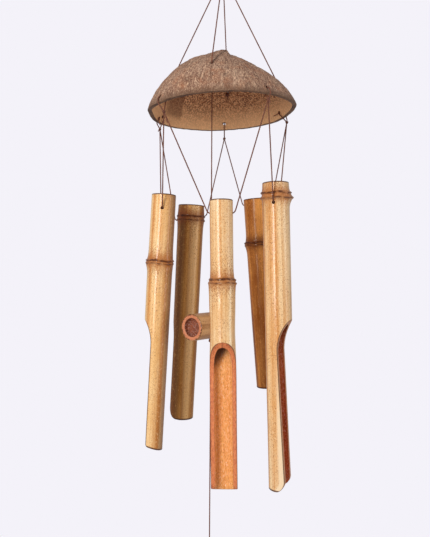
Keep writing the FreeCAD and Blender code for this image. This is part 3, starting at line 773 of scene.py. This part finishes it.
def make_hanger():
    ring_low, ring_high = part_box("hanging_ring")
    half = LOOP_HALF_WIDTH
    wire = ring_low.z + RING_WIRE_RADIUS
    low, high = wire - 1.0 * MM, wire + half
    make_loop("hanging_loop", "hanger",
              [HANGING_KNOT, Vector((0, -half, low)), Vector((0, -half, high)),
               Vector((0, half, high)), Vector((0, half, low)), HANGING_KNOT],
              "hanging_loop_twine")
    make_knot("hanging_knot", "hanger", 0.7,
              [((0.8, 0.3, 0.15), 5.0), ((-0.7, 0.5, 0.1), 4.0)])

    # The ring is bent from wire, so its two ends meet at the side with a hairline gap.
    centre = (ring_low + ring_high) / 2
    wire_radius = (ring_high.y - ring_low.y) / 2
    bend = (ring_high.x - ring_low.x) / 2 - wire_radius
    gap = math.radians(2.0)
    angles = [gap / 2 + (2 * math.pi - gap) * i / 96 for i in range(97)]
    sheets = Sheets()
    closed_tube(sheets, [centre + Vector((math.cos(a) * bend, 0, math.sin(a) * bend))
                         for a in angles], wire_radius, 16)
    add_piece("wire_ring", sheets, [steel()], "ring", "hanging_ring")


for i, rim_name in enumerate(RIM_HOLES):
    make_rim_loop(rim_name)
    make_knot(f"rim_knot_{rim_name}", "canopy", 0.9 * i, RIM_KNOT_TAILS.get(rim_name, ()),
              tight=0.72)
for i, hang_name in enumerate(HANG_HOLES):
    make_knot(f"suspension_knot_{hang_name}", "canopy", 0.5 + 0.8 * i, [((0.2, 0.3, -0.9), 3.0)])
crown_low, crown_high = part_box("crown_knot")
make_knot("crown_knot", "canopy", 2.1, [((0, 0.02, -1), (crown_high.z - crown_low.z) / MM - 2.6)])
make_knot("clapper_cord_knot", "clapper_hang", 1.3)
make_knot("clapper_stop_knot", "tail_hang", 1.7, [((0.7, -0.5, -0.4), 3.0)])
make_knot("catcher_knot", "tail", 0.2, [((-0.7, -0.5, 0.2), 3.5)])
make_hanger()


# ---------------------------------------------------------------- coconut shell

SHELL_AROUND = 360
SHELL_DOWN = 96
SHELL_HOLE_RADIUS = 1.2 * MM
CROWN_HOLE_RADIUS = 1.0 * MM
NUB_TOP = Vector((2.4, -18.0, 0)) * MM
NUB_HEIGHT = 3.2 * MM
# Where the painted shadow on the shell's inside ends.
SHADOW_EDGE = -36.0 * MM
FRONT_DARK_LINE = (Vector((-9.0, -43.0, 0)) * MM, Vector((2.6, -20.0, 0)) * MM)
# Broad swellings and hollows of the shell: height in mm, direction and reach.
SHELL_BULGES = ((-2.6, (0.5, -0.38, 0.78), 0.42), (1.1, (-0.42, -0.2, 0.88), 0.5),
                (-0.9, (0.55, -0.3, 0.78), 0.4))


def rim_wave(azimuth):
    """How far the sawn rim stands above its plane: it lifts a little at both sides."""
    turn = math.degrees(math.atan2(math.sin(azimuth), math.cos(azimuth)))
    out = level_way(azimuth)
    lift = 2.2 * bell(turn, 4, 24) + 2.6 * bell(abs(turn), 180, 16) - 0.5
    return (lift + 0.35 * ripple(out, 3.1) + 0.18 * ripple(out, 14)) * MM


def shell_dent(direction, inside):
    """How far the shell stands out from its plain arcs in this direction."""
    dent = 0.9 * ripple(direction, 1.7, (3, 1, 2))
    for height, way, reach in SHELL_BULGES:
        dent += height * bell((direction - Vector(way)).length, 0, reach)
    if inside:
        return (dent + 0.2 * ripple(direction, 12)) * MM
    azimuth_way = Vector((direction.x, direction.y, direction.z * 0.25))
    fibres = 0.3 * noise.fractal(azimuth_way * 26, 0.9, 2.1, 4)
    return (dent + 0.28 * ripple(direction, 9) + fibres) * MM


def nub(point):
    """The swelling on the shell's top: it climbs slowly from the left and drops off sharply."""
    x, y = (point.x - NUB_TOP.x) / MM, (point.y - NUB_TOP.y) / MM
    along = smooth_step(-17, 0, x) if x < 0 else 1 - smooth_step(0, 3.5, x)
    return NUB_HEIGHT * along * bell(y, 0, 9)


def front_dark_line(point):
    """1 on the dark line that runs from the front hole up to the swelling, 0 away from it."""
    if point.z <= SHELL_RIM_LEVEL + 20 * MM:
        return 0.0
    start, end = FRONT_DARK_LINE
    way = end - start
    flat = Vector((point.x, point.y, 0))
    share = min(max((flat - start).dot(way) / way.length_squared, 0.0), 1.0)
    return bell((flat - start - way * share).length, 0, 0.6 * MM)


def painted_shadow(point):
    """How dark the painted shadow is: the near-left wall's cast shadow, painted on the shell's
    inside at the left.
    """
    height = point.z - SHELL_RIM_LEVEL
    edge = SHADOW_EDGE - 0.25 * (8 * MM - height) + 1.5 * MM * ripple(point, 180)
    across = 1 - smooth_step(edge, edge + 0.8 * MM, point.x)
    across *= smooth_step(edge - 15 * MM, edge - 9 * MM, point.x)
    return 0.55 * across * smooth_step(3 * MM, 8 * MM, height)


def shell_point(azimuth, share, inside):
    """(point, fall) at this share of the way from the crown down to the rim.

    fall runs down the shell from its crown, for patterns that follow the fibres.
    """
    wall = SHELL_WALL if inside else 0
    crown, side = SHELL_CROWN_RADIUS - wall, SHELL_SIDE_RADIUS - wall
    out = level_way(azimuth)
    end_height = SHELL_RIM_SLOPE * out.x * SHELL_RIM_RADIUS + rim_wave(azimuth)
    turn = math.acos((end_height - SIDE_CENTRE[1]) / side) * share ** 0.85
    if turn < SHOULDER_TURN:
        radius = crown * math.sin(turn)
        height = SHELL_HEIGHT - SHELL_CROWN_RADIUS + crown * math.cos(turn)
    else:
        radius = SIDE_CENTRE[0] + side * math.sin(turn)
        height = SIDE_CENTRE[1] + side * math.cos(turn)
    normal = out * math.sin(turn) + UP * math.cos(turn)
    direction = (out * radius + UP * (height + 10 * MM)).normalized()
    fade = 1 - 0.75 * smooth_step(0.9, 1.0, share)
    point = out * radius + UP * (height + SHELL_RIM_LEVEL)
    point += normal * shell_dent(direction, inside) * fade
    if not inside:
        point += UP * nub(point)
    return point, out * 50 * MM + UP * side * turn


def shell_rows(inside):
    """Points and falls in rows from the crown down to the rim, over the outside or inside."""
    rows = [[shell_point(azimuth, i / SHELL_DOWN, inside) for azimuth in turns(SHELL_AROUND)]
            for i in range(SHELL_DOWN + 1)]
    return ([[point for point, _ in row] for row in rows],
            [[fall for _, fall in row] for row in rows])


def rim_edges(start):
    """How near each row is to the rim, from 0 at this share of the way down to 1."""
    return [[smooth_step(start, 1.0, i / SHELL_DOWN)] * SHELL_AROUND
            for i in range(SHELL_DOWN + 1)]


def make_shell():
    outer, outer_fall = shell_rows(False)
    inner, inner_fall = shell_rows(True)
    # The sawn edge: its two corners are worn round.
    lip, lip_fall = [], []
    for t in (0.0, 0.1, 0.3, 0.5, 0.7, 0.9, 1.0):
        drop = 0.35 * MM * math.sin(math.pi * t)
        lip.append([a.lerp(b, t) - UP * drop for a, b in zip(outer[-1], inner[-1])])
        lip_fall.append([a.lerp(b, t) + UP * 3 * MM * t
                         for a, b in zip(outer_fall[-1], inner_fall[-1])])
    sheets = Sheets()
    sheets.grid(outer, 0, closed=True, fall=outer_fall, rim_edge=rim_edges(0.9))
    sheets.grid(lip, 2, closed=True, fall=lip_fall, rim_edge=[[1.0] * SHELL_AROUND] * len(lip))
    # The inside's wide rim band carries its painted light.
    sheets.grid(inner, 1, closed=True, fall=inner_fall, rim_edge=rim_edges(0.62))
    for key, found in (("front_dark_line", front_dark_line), ("painted_shadow", painted_shadow)):
        sheets.extra[key] = {i: found(point) for i, point in enumerate(sheets.points)}
    holes = []
    for azimuth in RIM_HOLES.values():
        out = heading(azimuth)
        level = UP * (shell_rim_level(out.x * SHELL_RIM_RADIUS) + RIM_HOLE_HEIGHT)
        holes.append((out * 48 * MM + level, out * 64 * MM + level, SHELL_HOLE_RADIUS))
    for name in HANG_HOLES:
        mouth, normal = hang_hole(name)
        holes.append((mouth - normal * 7 * MM, mouth + normal * 3 * MM, SHELL_HOLE_RADIUS))
    top = middle("crown_knot")
    holes.append((top - UP * 9 * MM, top + UP * 4 * MM, CROWN_HOLE_RADIUS))
    add_piece("coconut_canopy", sheets, [coconut_outside(), coconut_inside(), coconut_edge()],
              "canopy", "coconut_shell", 0.002 * MM, holes)


make_shell()


# ---------------------------------------------------------------- bamboo tubes

EDGE = 0.3 * MM
AROUND = 84
SCOOP_RADIUS = 37.0 * MM
NODE_PLUG = 3.0 * MM
WALL = 2.9 * MM
SLING_HOLE_RADIUS = 1.3 * MM
GRAIN_STEP = 0.31
# Steps across a cut face, from its inner edge to its outer one, and how dark each is: partly
# singe, partly painted shade at the edges.
FACE_STEPS = (0.0, 0.12, 0.5, 0.88, 1.0)
FACE_EDGE_DARKNESS = (0.6, 0.0, 0.0, 0.2, 1.0)


class Culm:
    """The shape of one bamboo tube, as a function of the drop below its top and the angle.

    Angle 0 is the heading that the cut-away faces. Lengths are given in mm, and kept in metres.
    """

    def __init__(self, name, length, radii, node, ridges, hole_drop, lean, aside, cut_heading,
                 cut, corner, seed, waist=(0.0, 0.0), knuckle=(0.0, 0.0), end_slant=0.0,
                 strip=0.0):
        self.name, self.seed = name, seed
        self.slant = math.tan(math.radians(end_slant))
        self.length, self.node, self.corner, self.strip = (
            size * MM for size in (length, node, corner, strip))
        self.top_radius, self.main_radius, self.end_radius = (r * MM for r in radii)
        self.ridges = [tuple(size * MM for size in ridge) for ridge in ridges]
        self.cut_drop, self.depth, self.end_depth = (c * MM for c in cut)
        self.waist_drop, self.waist = (w * MM for w in waist)
        self.knuckle_angle = math.radians(knuckle[0] - cut_heading)
        self.knuckle = knuckle[1] * MM
        inward = self.main_radius - self.depth
        self.cut_run = math.sqrt(2 * SCOOP_RADIUS * inward - inward ** 2)
        lean_x, lean_y = (math.tan(math.radians(angle)) for angle in lean)
        self.axis = Vector((-lean_x, -lean_y, 1)).normalized()
        joint = JOINTS[f"tube_{name}_rock"]
        self.pivot, self.hole = Vector(joint["pos_m"]), Vector(joint["axis"]).normalized()
        self.top = self.pivot + Vector((*aside, 0)) * MM + self.axis * hole_drop * MM
        facing = heading(cut_heading)
        self.facing = (facing - self.axis * facing.dot(self.axis)).normalized()
        self.across = self.axis.cross(self.facing)

    def place(self, x, y, drop):
        """A point in the row frame; a slanted end climbs towards the side of the cut-away."""
        near_end = smooth_step(self.length - 24 * MM, self.length, drop)
        drop -= self.slant * (x + self.end_radius) * near_end
        return self.top + self.facing * x + self.across * y - self.axis * drop

    def base_radius(self, drop):
        if drop < self.node:
            return self.top_radius
        share = (drop - self.node) / (self.length - self.node)
        radius = self.main_radius + (self.end_radius - self.main_radius) * share
        return radius - self.waist * bell(drop, self.waist_drop, 16 * MM)

    def off_node(self, angle, drop):
        """How far below the node this is: the node's line wanders a little round the tube."""
        way = level_way(angle)
        wander = 0.9 * ripple(way, 1.3, (self.seed * 2, 0, 0))
        wander += 0.22 * ripple(way, 7, (0, self.seed * 2, 0))
        return drop + wander * MM - self.node

    def node_shape(self, off):
        """The swelling at the node, and the ridges round it."""
        swell = 0.5 * MM * bell(off, 0, 6 * MM)
        return swell + sum(h * bell(off, place, w) for place, h, w in self.ridges)

    def node_line(self, angle, drop):
        """1 on the dark lines along the ridges, ragged round the tube."""
        off = self.off_node(angle, drop)
        line = max(bell(off, self.ridges[0][0], 0.75 * MM),
                   0.7 * bell(off, self.ridges[1][0], 0.5 * MM))
        ragged = ripple(level_way(angle), 4, (self.seed, 0, off / MM * 0.5))
        return min(1.0, line * (0.95 + 1.3 * ragged)
                   + 0.4 * max(ragged, 0) * bell(off, 0, 4 * MM))

    def worn(self, drop):
        """How far the corners at the two ends are worn back."""
        return 0.3 * MM * sum(max(0.0, 1 - away / (0.5 * MM)) ** 2
                              for away in (drop, self.length - drop))

    def outer(self, angle, drop):
        """The outside's radius."""
        step = smooth_step(self.node - 3 * MM, self.node + 3 * MM, drop)
        radius = self.top_radius * (1 - step) + self.base_radius(max(drop, self.node)) * step
        way = level_way(angle)
        wobble = 0.22 * ripple(way, 0.9, (self.seed, 0, drop * 12))
        ribs = 0.05 * ripple(way, 6, (0, self.seed, drop * 9))
        uneven = 1 + 0.55 * ripple(way, 1.6, (0, 0, self.seed * 3))
        off = self.off_node(angle, drop)
        grit = 0.16 * ripple(way, 12, (self.seed, 0, drop / MM * 0.9))
        radius += (wobble + ribs + grit * bell(off, 0, 4 * MM)) * MM
        radius += self.node_shape(off) * uneven
        facing = max(math.cos(angle - self.knuckle_angle), 0.0) ** 2
        radius += self.knuckle * facing * bell(drop - self.node, 1 * MM, 4 * MM)
        return radius - self.worn(drop)

    def inner(self, angle, drop):
        """The bore's radius."""
        way = level_way(angle)
        rough = 0.2 * ripple(way, 2.2, (self.seed, 5, drop * 40))
        rough += 0.1 * ripple(way, 7, (self.seed, 9, drop * 70))
        radius = (self.top_radius if drop < self.node else self.base_radius(drop)) - WALL
        return radius + rough * MM + self.worn(drop)

    def bore_shade(self, y, drop):
        """1 where the bore is deep in the closed part; it reaches lowest on the left side."""
        below = drop - self.cut_drop + y / self.main_radius * 13 * MM
        return 0.85 * (1 - smooth_step(6 * MM, 17 * MM, below))

    def cut_at(self, drop):
        """How far from the axis the cut face stands at this drop, or None above the cut."""
        full = self.cut_drop + self.cut_run
        if drop < self.cut_drop:
            return None
        if drop < full:
            return self.depth + SCOOP_RADIUS - math.sqrt(SCOOP_RADIUS ** 2 - (full - drop) ** 2)
        share = (drop - full) / (self.length - self.corner - full)
        depth = self.depth + (self.end_depth - self.depth) * min(share, 1.0)
        into = max(drop - (self.length - self.corner), 0.0)
        return depth - self.corner + math.sqrt(max(self.corner ** 2 - into ** 2, 0.0))

    def edge_angle(self, surface, drop, side):
        """The angle where the cut face meets a surface, on one side; 0 where it doesn't."""
        cut = self.cut_at(drop)
        if cut is None:
            return 0.0
        angle = 0.5
        for _ in range(5):
            share = cut / surface(side * angle, drop)
            if share >= 1:
                return 0.0
            angle = math.acos(max(share, -1.0))
        return angle

    def drops(self, start, end):
        """The drops of the rows: close together at the ends, the node and the cut's corners."""
        # Each (place, reach, step) in mm.
        marks = [(0, 1.5, 0.2), (self.node / MM, 7, 0.35), (self.length / MM, 1.5, 0.2),
                 (self.cut_drop / MM, 2.5, 0.25), (self.cut_drop / MM + 8, 9, 0.4),
                 ((self.length - self.corner / 2) / MM, self.corner / MM, 0.4)]
        found, at = [start], start
        while at < end:
            step = 1.6
            for centre, reach, fine in marks:
                away = abs(at / MM - centre)
                if away < reach:
                    step = min(step, fine)
                elif away < reach + 6:
                    step = min(step, 0.8)
            at = min(at + step * MM, end)
            found.append(at)
        if len(found) > 2 and found[-1] - found[-2] < 0.08 * MM:
            found.pop(-2)
        return found

    def spot(self, surface, angle, drop):
        """(x, y, drop) of a point on a surface."""
        radius = surface(angle, drop)
        return radius * math.cos(angle), radius * math.sin(angle), drop

    def surface_rows(self, surface, drops):
        """Rows round a surface: even, with one extra point by each edge to keep it crisp."""
        rows = []
        for drop in drops:
            first = self.edge_angle(surface, drop, 1)
            last = 2 * math.pi - self.edge_angle(surface, drop, -1)
            near = EDGE / surface(0, drop)
            start, end = first + near, last - near
            even = [start + (end - start) * i / (AROUND - 2) for i in range(AROUND - 1)]
            rows.append([self.spot(surface, angle, drop) for angle in [first, *even, last]])
        return rows

    def cut_rows(self, drops, side):
        """The cut face on one side of the middle, from the inside corner to the outside one."""
        rows = []
        for drop in drops:
            angle = self.edge_angle(self.outer, drop, side) * side
            far = self.spot(self.outer, angle, drop)
            angle = self.edge_angle(self.inner, drop, side) * side
            near = self.spot(self.inner, angle, drop) if angle else (far[0], 0.0, drop)
            rows.append(across_face(near, far))
        return rows

    def skin_marks(self, row):
        """The attributes of bamboo_skin at each point of a row."""
        drop = row[0][2]
        angles = [math.atan2(y, x) for x, y, _ in row]
        # The dark line at the two ends is partly singe and partly painted shade along the rim.
        at_end = drop < 0.85 * MM or self.length - drop < 1.3 * MM
        edge_line = [1.0 if at_end else 0.0] * len(row)
        if self.edge_angle(self.outer, drop, 1) > 0:
            edge_line[0] = edge_line[1] = edge_line[-1] = edge_line[-2] = 1.0
        return {
            "node_band": [bell(self.off_node(angle, drop), -1 * MM, 5.5 * MM)
                          for angle in angles],
            "node_line": [self.node_line(angle, drop) for angle in angles],
            "node_reach": [bell(drop, self.node, 13 * MM)] * len(row),
            "painted_highlight_strip": self.painted_highlight_strip(row, drop),
            "edge_line": edge_line,
        }

    def painted_highlight_strip(self, row, drop):
        """1 on the painted highlight, a pale strip beside the near edge of the cut-away, on a
        culm that has one.
        """
        start = self.length - self.strip
        fade = 0.8 * smooth_step(start, start + 60 * MM, drop) if self.strip else 0
        edge = self.edge_angle(self.outer, drop, -1)
        if not fade or not edge:
            return [0.0] * len(row)
        wide = (2.0 + 3.5 * smooth_step(start, self.length, drop)) * MM
        return [fade * (1 - smooth_step(0.6 * wide, wide, math.hypot(x, y)
                                        * (-math.atan2(y, x) - edge)))
                if y < 0 else 0.0 for x, y, _ in row]


def across_face(near, far):
    """Points from near to far in the steps of a cut face."""
    return [tuple(a + (b - a) * t for a, b in zip(near, far)) for t in FACE_STEPS]


def culm_sheets(culm):
    sheets = Sheets()

    def add(rows, material, grain=None, **extra):
        """rows of (x, y, drop); grain gives other rows for the patterns to follow."""
        sheets.grid([[culm.place(*spot) for spot in row] for row in rows], material,
                    local=[[(x, y, -drop + culm.seed * GRAIN_STEP) for x, y, drop in row]
                           for row in grain or rows], **extra)

    drops = culm.drops(0.0, culm.length)
    outer = culm.surface_rows(culm.outer, drops)
    marks = [culm.skin_marks(row) for row in outer]
    add(outer, 0, **{key: [mark[key] for mark in marks] for key in marks[0]})

    # The bore above the node's plug is closed at its last row, the one below at its first.
    for part, closed in ((culm.drops(0.0, culm.node - NODE_PLUG / 2), -1),
                         (culm.drops(culm.node + NODE_PLUG / 2, culm.length), 0)):
        rows = culm.surface_rows(culm.inner, part)
        face = [across_face(*pair) for pair in zip(rows[-1 - closed], outer[-1 - closed])]
        caps = [[(x * t, y * t, drop) for x, y, drop in rows[closed]] for t in (0.6, 0.15, 0.0)]
        plain = [[(0.0, 0.0, part[closed])] * len(rows[closed])] * len(caps)
        grain = rows + plain if closed else plain + rows
        shades = [[culm.bore_shade(y, drop) for _, y, drop in row] for row in grain]
        add(rows + caps if closed else caps[::-1] + rows, 1, grain, bore_shade=shades)
        add(list(zip(*face)), 2, edge_line=[[edge_darkness] * len(face) for edge_darkness in FACE_EDGE_DARKNESS])

    for side in (1, -1):
        rows = culm.cut_rows([drop for drop in drops if drop >= culm.cut_drop], side)
        add(rows, 2, edge_line=[FACE_EDGE_DARKNESS] * len(rows))
    return sheets


# Name, length, radii at the top, under the node and at the end, drop of the node, its ridges
# (offset, height, width), drop of the cross hole, lean in degrees along x and y, shift aside,
# heading of the cut-away, its (drop, depth, depth at the end), its corner radius, and a seed.
CULMS = [
    Culm("left", 201.9, (9.6, 9.9, 9.6), 53.6, [(-1.0, 0.9, 0.6), (1.3, 0.55, 0.8)], 11.3,
         (-3.1, -0.2), (1.2, 0.0), 186.0, (99.0, 4.2, 4.0), 2.0, 1.0, knuckle=(200.0, 0.9),
         end_slant=17.0),
    Culm("back_left", 185.7, (11.2, 11.2, 10.6), 11.4, [(-1.7, 0.65, 0.6), (1.7, 0.65, 0.7)],
         11.6, (-2.9, 1.2), (0.0, 0.0), 123.0, (92.0, 1.2, 1.8), 10.0, 2.0),
    Culm("front", 212.7, (8.5, 9.7, 9.6), 59.3, [(-1.2, 0.9, 0.7), (1.4, 0.6, 0.9)], 10.0,
         (0.6, -1.4), (0.0, 0.0), -93.0, (102.3, 1.0, 1.2), 3.0, 3.0, waist=(96.0, 0.6),
         end_slant=20.5),
    Culm("back_right", 164.0, (10.8, 10.9, 10.5), 38.8, [(-0.9, 1.0, 0.7), (1.2, 0.6, 0.7)], 7.7,
         (4.0, 1.2), (0.0, 0.0), 52.0, (82.0, 1.5, 1.8), 6.0, 4.0, knuckle=(190.0, 0.8)),
    Culm("right", 234.4, (10.1, 10.4, 10.3), 10.7, [(-2.4, 1.0, 0.7), (1.6, 1.1, 0.9)], 16.2,
         (1.2, -0.5), (-0.3, 0.0), -22.0, (105.0, 1.4, 4.6), 8.0, 5.0, knuckle=(10.0, 1.7),
         strip=110.0),
]

# The colours of each tube's skin (light, main, deep), hollow and cut faces (light, deep).
CULM_COLOURS = {
    "left": (((254, 222, 170), (236, 186, 116), (204, 130, 56)),
             ((206, 134, 82), (150, 82, 42)), ((228, 164, 108), (196, 124, 74))),
    "back_left": (((238, 184, 108), (204, 146, 74), (150, 92, 36)),
                  ((170, 110, 66), (110, 62, 34)), ((206, 146, 92), (170, 108, 64))),
    "front": (((255, 234, 194), (244, 204, 146), (212, 148, 78)),
              ((246, 178, 100), (220, 138, 66)), ((232, 140, 82), (190, 92, 50))),
    "back_right": (((236, 164, 86), (162, 90, 30), (110, 54, 14)),
                   ((170, 106, 60), (110, 60, 30)), ((206, 140, 84), (166, 100, 54))),
    "right": (((255, 230, 186), (242, 196, 136), (206, 138, 68)),
              ((236, 134, 70), (186, 90, 38)), ((230, 170, 116), (200, 128, 76))),
}
# Painted light and shade on the sides of each culm: angle faced, radius, colour and stops.
CULM_PAINTED_LIGHT_SIDES = {
    "left": [(164, 9.9, rgb(140, 88, 42), (0.5, 0.0), (0.95, 0.75))],
    "back_left": [(67, 11.2, rgb(108, 60, 22), (0.3, 0.0), (0.65, 0.85)),
                  (171, 11.2, rgb(255, 218, 160), (0.88, 0.0), (0.99, 0.75)),
                  (240, 11.2, rgb(150, 104, 60), (0.6, 0.0), (0.95, 0.6))],
}
BURNT = rgb(176, 104, 46)
CULM_BURNT = {"back_left": rgb(140, 70, 34), "back_right": rgb(96, 44, 16)}


def bamboo(name, colours, burnt, seed, coat, light_and_shade_sides=()):
    """The three materials of a bamboo piece: skin, hollow and cut faces."""
    skin, hollow, cut = ([rgb(*colour) for colour in group] for group in colours)
    return [bamboo_skin(f"bamboo_skin_{name}", skin, burnt, seed, coat, light_and_shade_sides),
            bamboo_inside(f"bamboo_inside_{name}", *hollow, seed),
            bamboo_cut(f"bamboo_cut_{name}", *cut, seed)]


def make_culm(culm):
    name = culm.name
    materials = bamboo(name, CULM_COLOURS[name], CULM_BURNT.get(name, BURNT), culm.seed,
                       0.25 if name.startswith("back") else 0.6, CULM_PAINTED_LIGHT_SIDES.get(name, ()))
    reach = culm.hole * 20 * MM
    add_piece(f"bamboo_{name}", culm_sheets(culm), materials, f"tube_{name}", f"tube_{name}",
              0.012 * MM, [(culm.pivot - reach, culm.pivot + reach, SLING_HOLE_RADIUS)])


for one_culm in CULMS:
    make_culm(one_culm)


# ---------------------------------------------------------------- clapper

CLAPPER_HALF = 21.0 * MM
CLAPPER_RADIUS = 10.5 * MM
CLAPPER_BORE = 7.3 * MM
CLAPPER_RECESS = 5.0 * MM
CLAPPER_HEADING = 232.5
CLAPPER_HOLE_RADIUS = 1.2 * MM
CLAPPER_SEED = 6.0
CLAPPER_GRAIN = 2.17
CLAPPER_COLOURS = (((232, 188, 134), (212, 164, 110), (166, 114, 66)),
                   ((164, 84, 44), (96, 44, 22)), ((218, 140, 98), (186, 106, 68)))


def clapper_outline():
    """The clapper's half section: (material, points), each point (radius, distance along)."""
    edge = 0.7 * MM
    recess = CLAPPER_HALF - CLAPPER_RECESS
    hollow = [(0.0, recess), (CLAPPER_BORE * 0.4, recess),
              (CLAPPER_BORE * 0.8, recess + 0.3 * MM), (CLAPPER_BORE * 0.98, recess + 1.0 * MM),
              (CLAPPER_BORE, CLAPPER_HALF - 2.0 * MM), (CLAPPER_BORE, CLAPPER_HALF - 0.3 * MM)]
    face = [hollow[-1], (CLAPPER_BORE + 0.3 * MM, CLAPPER_HALF),
            ((CLAPPER_BORE + CLAPPER_RADIUS) / 2, CLAPPER_HALF),
            (CLAPPER_RADIUS - edge, CLAPPER_HALF)]
    corner = (CLAPPER_RADIUS - 0.2 * MM, CLAPPER_HALF - 0.25 * MM)
    straight = CLAPPER_HALF - edge
    side = [face[-1], corner] + [(CLAPPER_RADIUS, straight * (1 - i / 20)) for i in range(41)]
    side += [(corner[0], -corner[1]), (face[-1][0], -face[-1][1])]
    return [(1, hollow), (2, face), (0, side),
            (2, [(r, -along) for r, along in reversed(face)]),
            (1, [(r, -along) for r, along in reversed(hollow)])]


def make_clapper():
    along_way = heading(CLAPPER_HEADING)
    across = UP.cross(along_way)
    centre = middle("clapper")
    ways = [level_way(angle) for angle in turns(72)]
    sheets = Sheets()
    for material, points in clapper_outline():
        rows, local, lines = [], [], []
        for radius, along in points:
            wobble = [0.25 * ripple(way, 1.1, (7, 0, along * 14)) * MM for way in ways]
            at = [(radius + w * min(radius / CLAPPER_BORE, 1.0)) * way
                  for w, way in zip(wobble, ways)]
            rows.append([centre + across * spot.x + UP * spot.y + along_way * along
                         for spot in at])
            local.append([(spot.x, spot.y, along + CLAPPER_GRAIN) for spot in at])
            # A dark line at the sawn ends: partly singe, partly painted shade.
            at_edge = abs(along) > CLAPPER_HALF - 0.5 * MM and radius > CLAPPER_BORE + 1 * MM
            lines.append([1.0 if at_edge and material == 0 else 0.0] * len(ways))
        sheets.grid(rows, material, closed=True, local=local, edge_line=lines)
    way = (CLAPPER_STOP - CLAPPER_TOP).normalized() * 14 * MM
    hole = Vector(JOINTS["clapper_twist"]["pos_m"])
    add_piece("bamboo_clapper", sheets,
              bamboo("clapper", CLAPPER_COLOURS, STAIN, CLAPPER_SEED, 0.4),
              "clapper", "clapper", 0.01 * MM,
              [(hole - way, hole + way, CLAPPER_HOLE_RADIUS)])


make_clapper()


# ---------------------------------------------------------------- wind catcher

CATCHER_AROUND = 96
CATCHER_RINGS = 14
CATCHER_HOLE_RADIUS = 1.4 * MM
CATCHER_LOOP_HALF = 3.2 * MM


def make_catcher():
    """A sawn and sanded disc of coconut shell, hung by a hole near its edge."""
    low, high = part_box("wind_catcher")
    centre = (low + high) / 2
    radius, half = (high.x - low.x) / 2, (high.y - low.y) / 2
    ways = [Vector((math.cos(angle), 0, math.sin(angle))) for angle in turns(CATCHER_AROUND)]
    front, back = [], []
    for i in range(CATCHER_RINGS + 1):
        share = i / CATCHER_RINGS
        worn = 0.55 * MM * max(0.0, (share - 0.93) / 0.07) ** 2
        for rows, side in ((front, -1), (back, 1)):
            row = []
            for way in ways:
                dent = 0.12 * MM * ripple(way * share, 4, (side, 2, 0))
                place = centre + way * radius * share * (1 + 0.006 * ripple(way, 3))
                row.append(place + Vector((0, side * (half - 0.15 * MM - worn + dent), 0)))
            rows.append(row)
    edge = [[a.lerp(b, t) + (a - centre).normalized() * 0.1 * MM * math.sin(math.pi * t)
             for a, b in zip(front[-1], back[-1])] for t in (0.0, 0.25, 0.5, 0.75, 1.0)]
    sheets = Sheets()
    for rows in (front, edge, back):
        sheets.grid(rows, closed=True)
    hole = Vector(JOINTS["catcher_swing"]["pos_m"])
    through = Vector((0, 4 * MM, 0))
    add_piece("coconut_wind_catcher", sheets, [polished_shell()], "wind_catcher",
              "wind_catcher", 0.01 * MM,
              [(hole - through, hole + through, CATCHER_HOLE_RADIUS)])

    near, far = (hole + Vector((0, side * CATCHER_LOOP_HALF, 0)) for side in (-1, 1))
    make_loop("catcher_loop", "tail",
              [CATCHER_KNOT, near + UP * 4 * MM, near, far, far + UP * 4 * MM, CATCHER_KNOT],
              "catcher_tie")


make_catcher()


# ---------------------------------------------------------------- studio

BACKDROP = rgb(244, 242, 249)
AMBIENT = 0.45
FLOOR_LEVEL = -0.62
FLOOR_HALF = 4.0
STUDIO_TARGET = Vector((0, 0, -0.27))


def backdrop_strength(tree):
    """The backdrop shows at full strength and lights the chime less, so its edges stay dark."""
    seen = tree.nodes.new("ShaderNodeLightPath")
    fade = tree.nodes.new("ShaderNodeMapRange")
    fade.inputs["To Min"].default_value = AMBIENT
    fade.inputs["To Max"].default_value = 1.0
    tree.links.new(seen.outputs["Is Camera Ray"], fade.inputs["Value"])
    return fade.outputs["Result"]


def make_world():
    world = bpy.data.worlds.new("studio")
    bpy.context.scene.world = world
    world.use_nodes = True
    background = world.node_tree.nodes["Background"]
    background.inputs["Color"].default_value = BACKDROP
    world.node_tree.links.new(backdrop_strength(world.node_tree), background.inputs["Strength"])


def make_floor():
    """A plain pale floor that fades into the backdrop's own colour away from the chime."""
    s = Shader("studio_floor", rgb(226, 224, 232), {"Roughness": 0.8})
    level = s.node("ShaderNodeVectorMath", operation="MULTIPLY")
    s.feed(level.inputs[0], s.place)
    s.feed(level.inputs[1], (1, 1, 0))
    away = s.node("ShaderNodeVectorMath", operation="LENGTH")
    s.feed(away.inputs[0], level.outputs[0])
    glow = s.node("ShaderNodeEmission")
    s.feed(glow.inputs["Color"], BACKDROP)
    s.feed(glow.inputs["Strength"], backdrop_strength(s.tree))
    blend = s.node("ShaderNodeMixShader")
    s.feed(blend.inputs[0], s.ramp(away.outputs["Value"], (0.0, 0.6), (0.3, 1.0)))
    s.feed(blend.inputs[1], s.bsdf.outputs[0])
    s.feed(blend.inputs[2], glow.outputs[0])
    s.over(rgb(230, 228, 236), s.noise(30, 2))
    s.feed(s.tree.nodes["Material Output"].inputs["Surface"], blend.outputs[0])
    sheets = Sheets()
    sheets.grid([[(x * FLOOR_HALF, y * FLOOR_HALF, FLOOR_LEVEL) for x in (-1, 1)]
                 for y in (-1, 1)])
    add_mesh("studio_floor", sheets, [s.finish()])


def make_light(name, place, power, colour=(1, 1, 1)):
    data = bpy.data.lights.new(name, "AREA")
    data.shape = "RECTANGLE"
    data.size, data.size_y = 0.3, 0.9
    data.energy = power
    data.color = colour
    light = add_object(name, data)
    light.location = place
    light.rotation_euler = (STUDIO_TARGET - Vector(place)).to_track_quat("-Z", "Y").to_euler()


def make_studio():
    make_world()
    make_floor()
    make_light("key", (-0.62, -1.15, 0.05), 13.5, (1.0, 0.97, 0.94))
    make_light("fill", (1.15, -0.45, -0.2), 2.9)
    view = bpy.context.scene.view_settings
    view.view_transform = "Standard"
    view.look = "None"


make_studio()
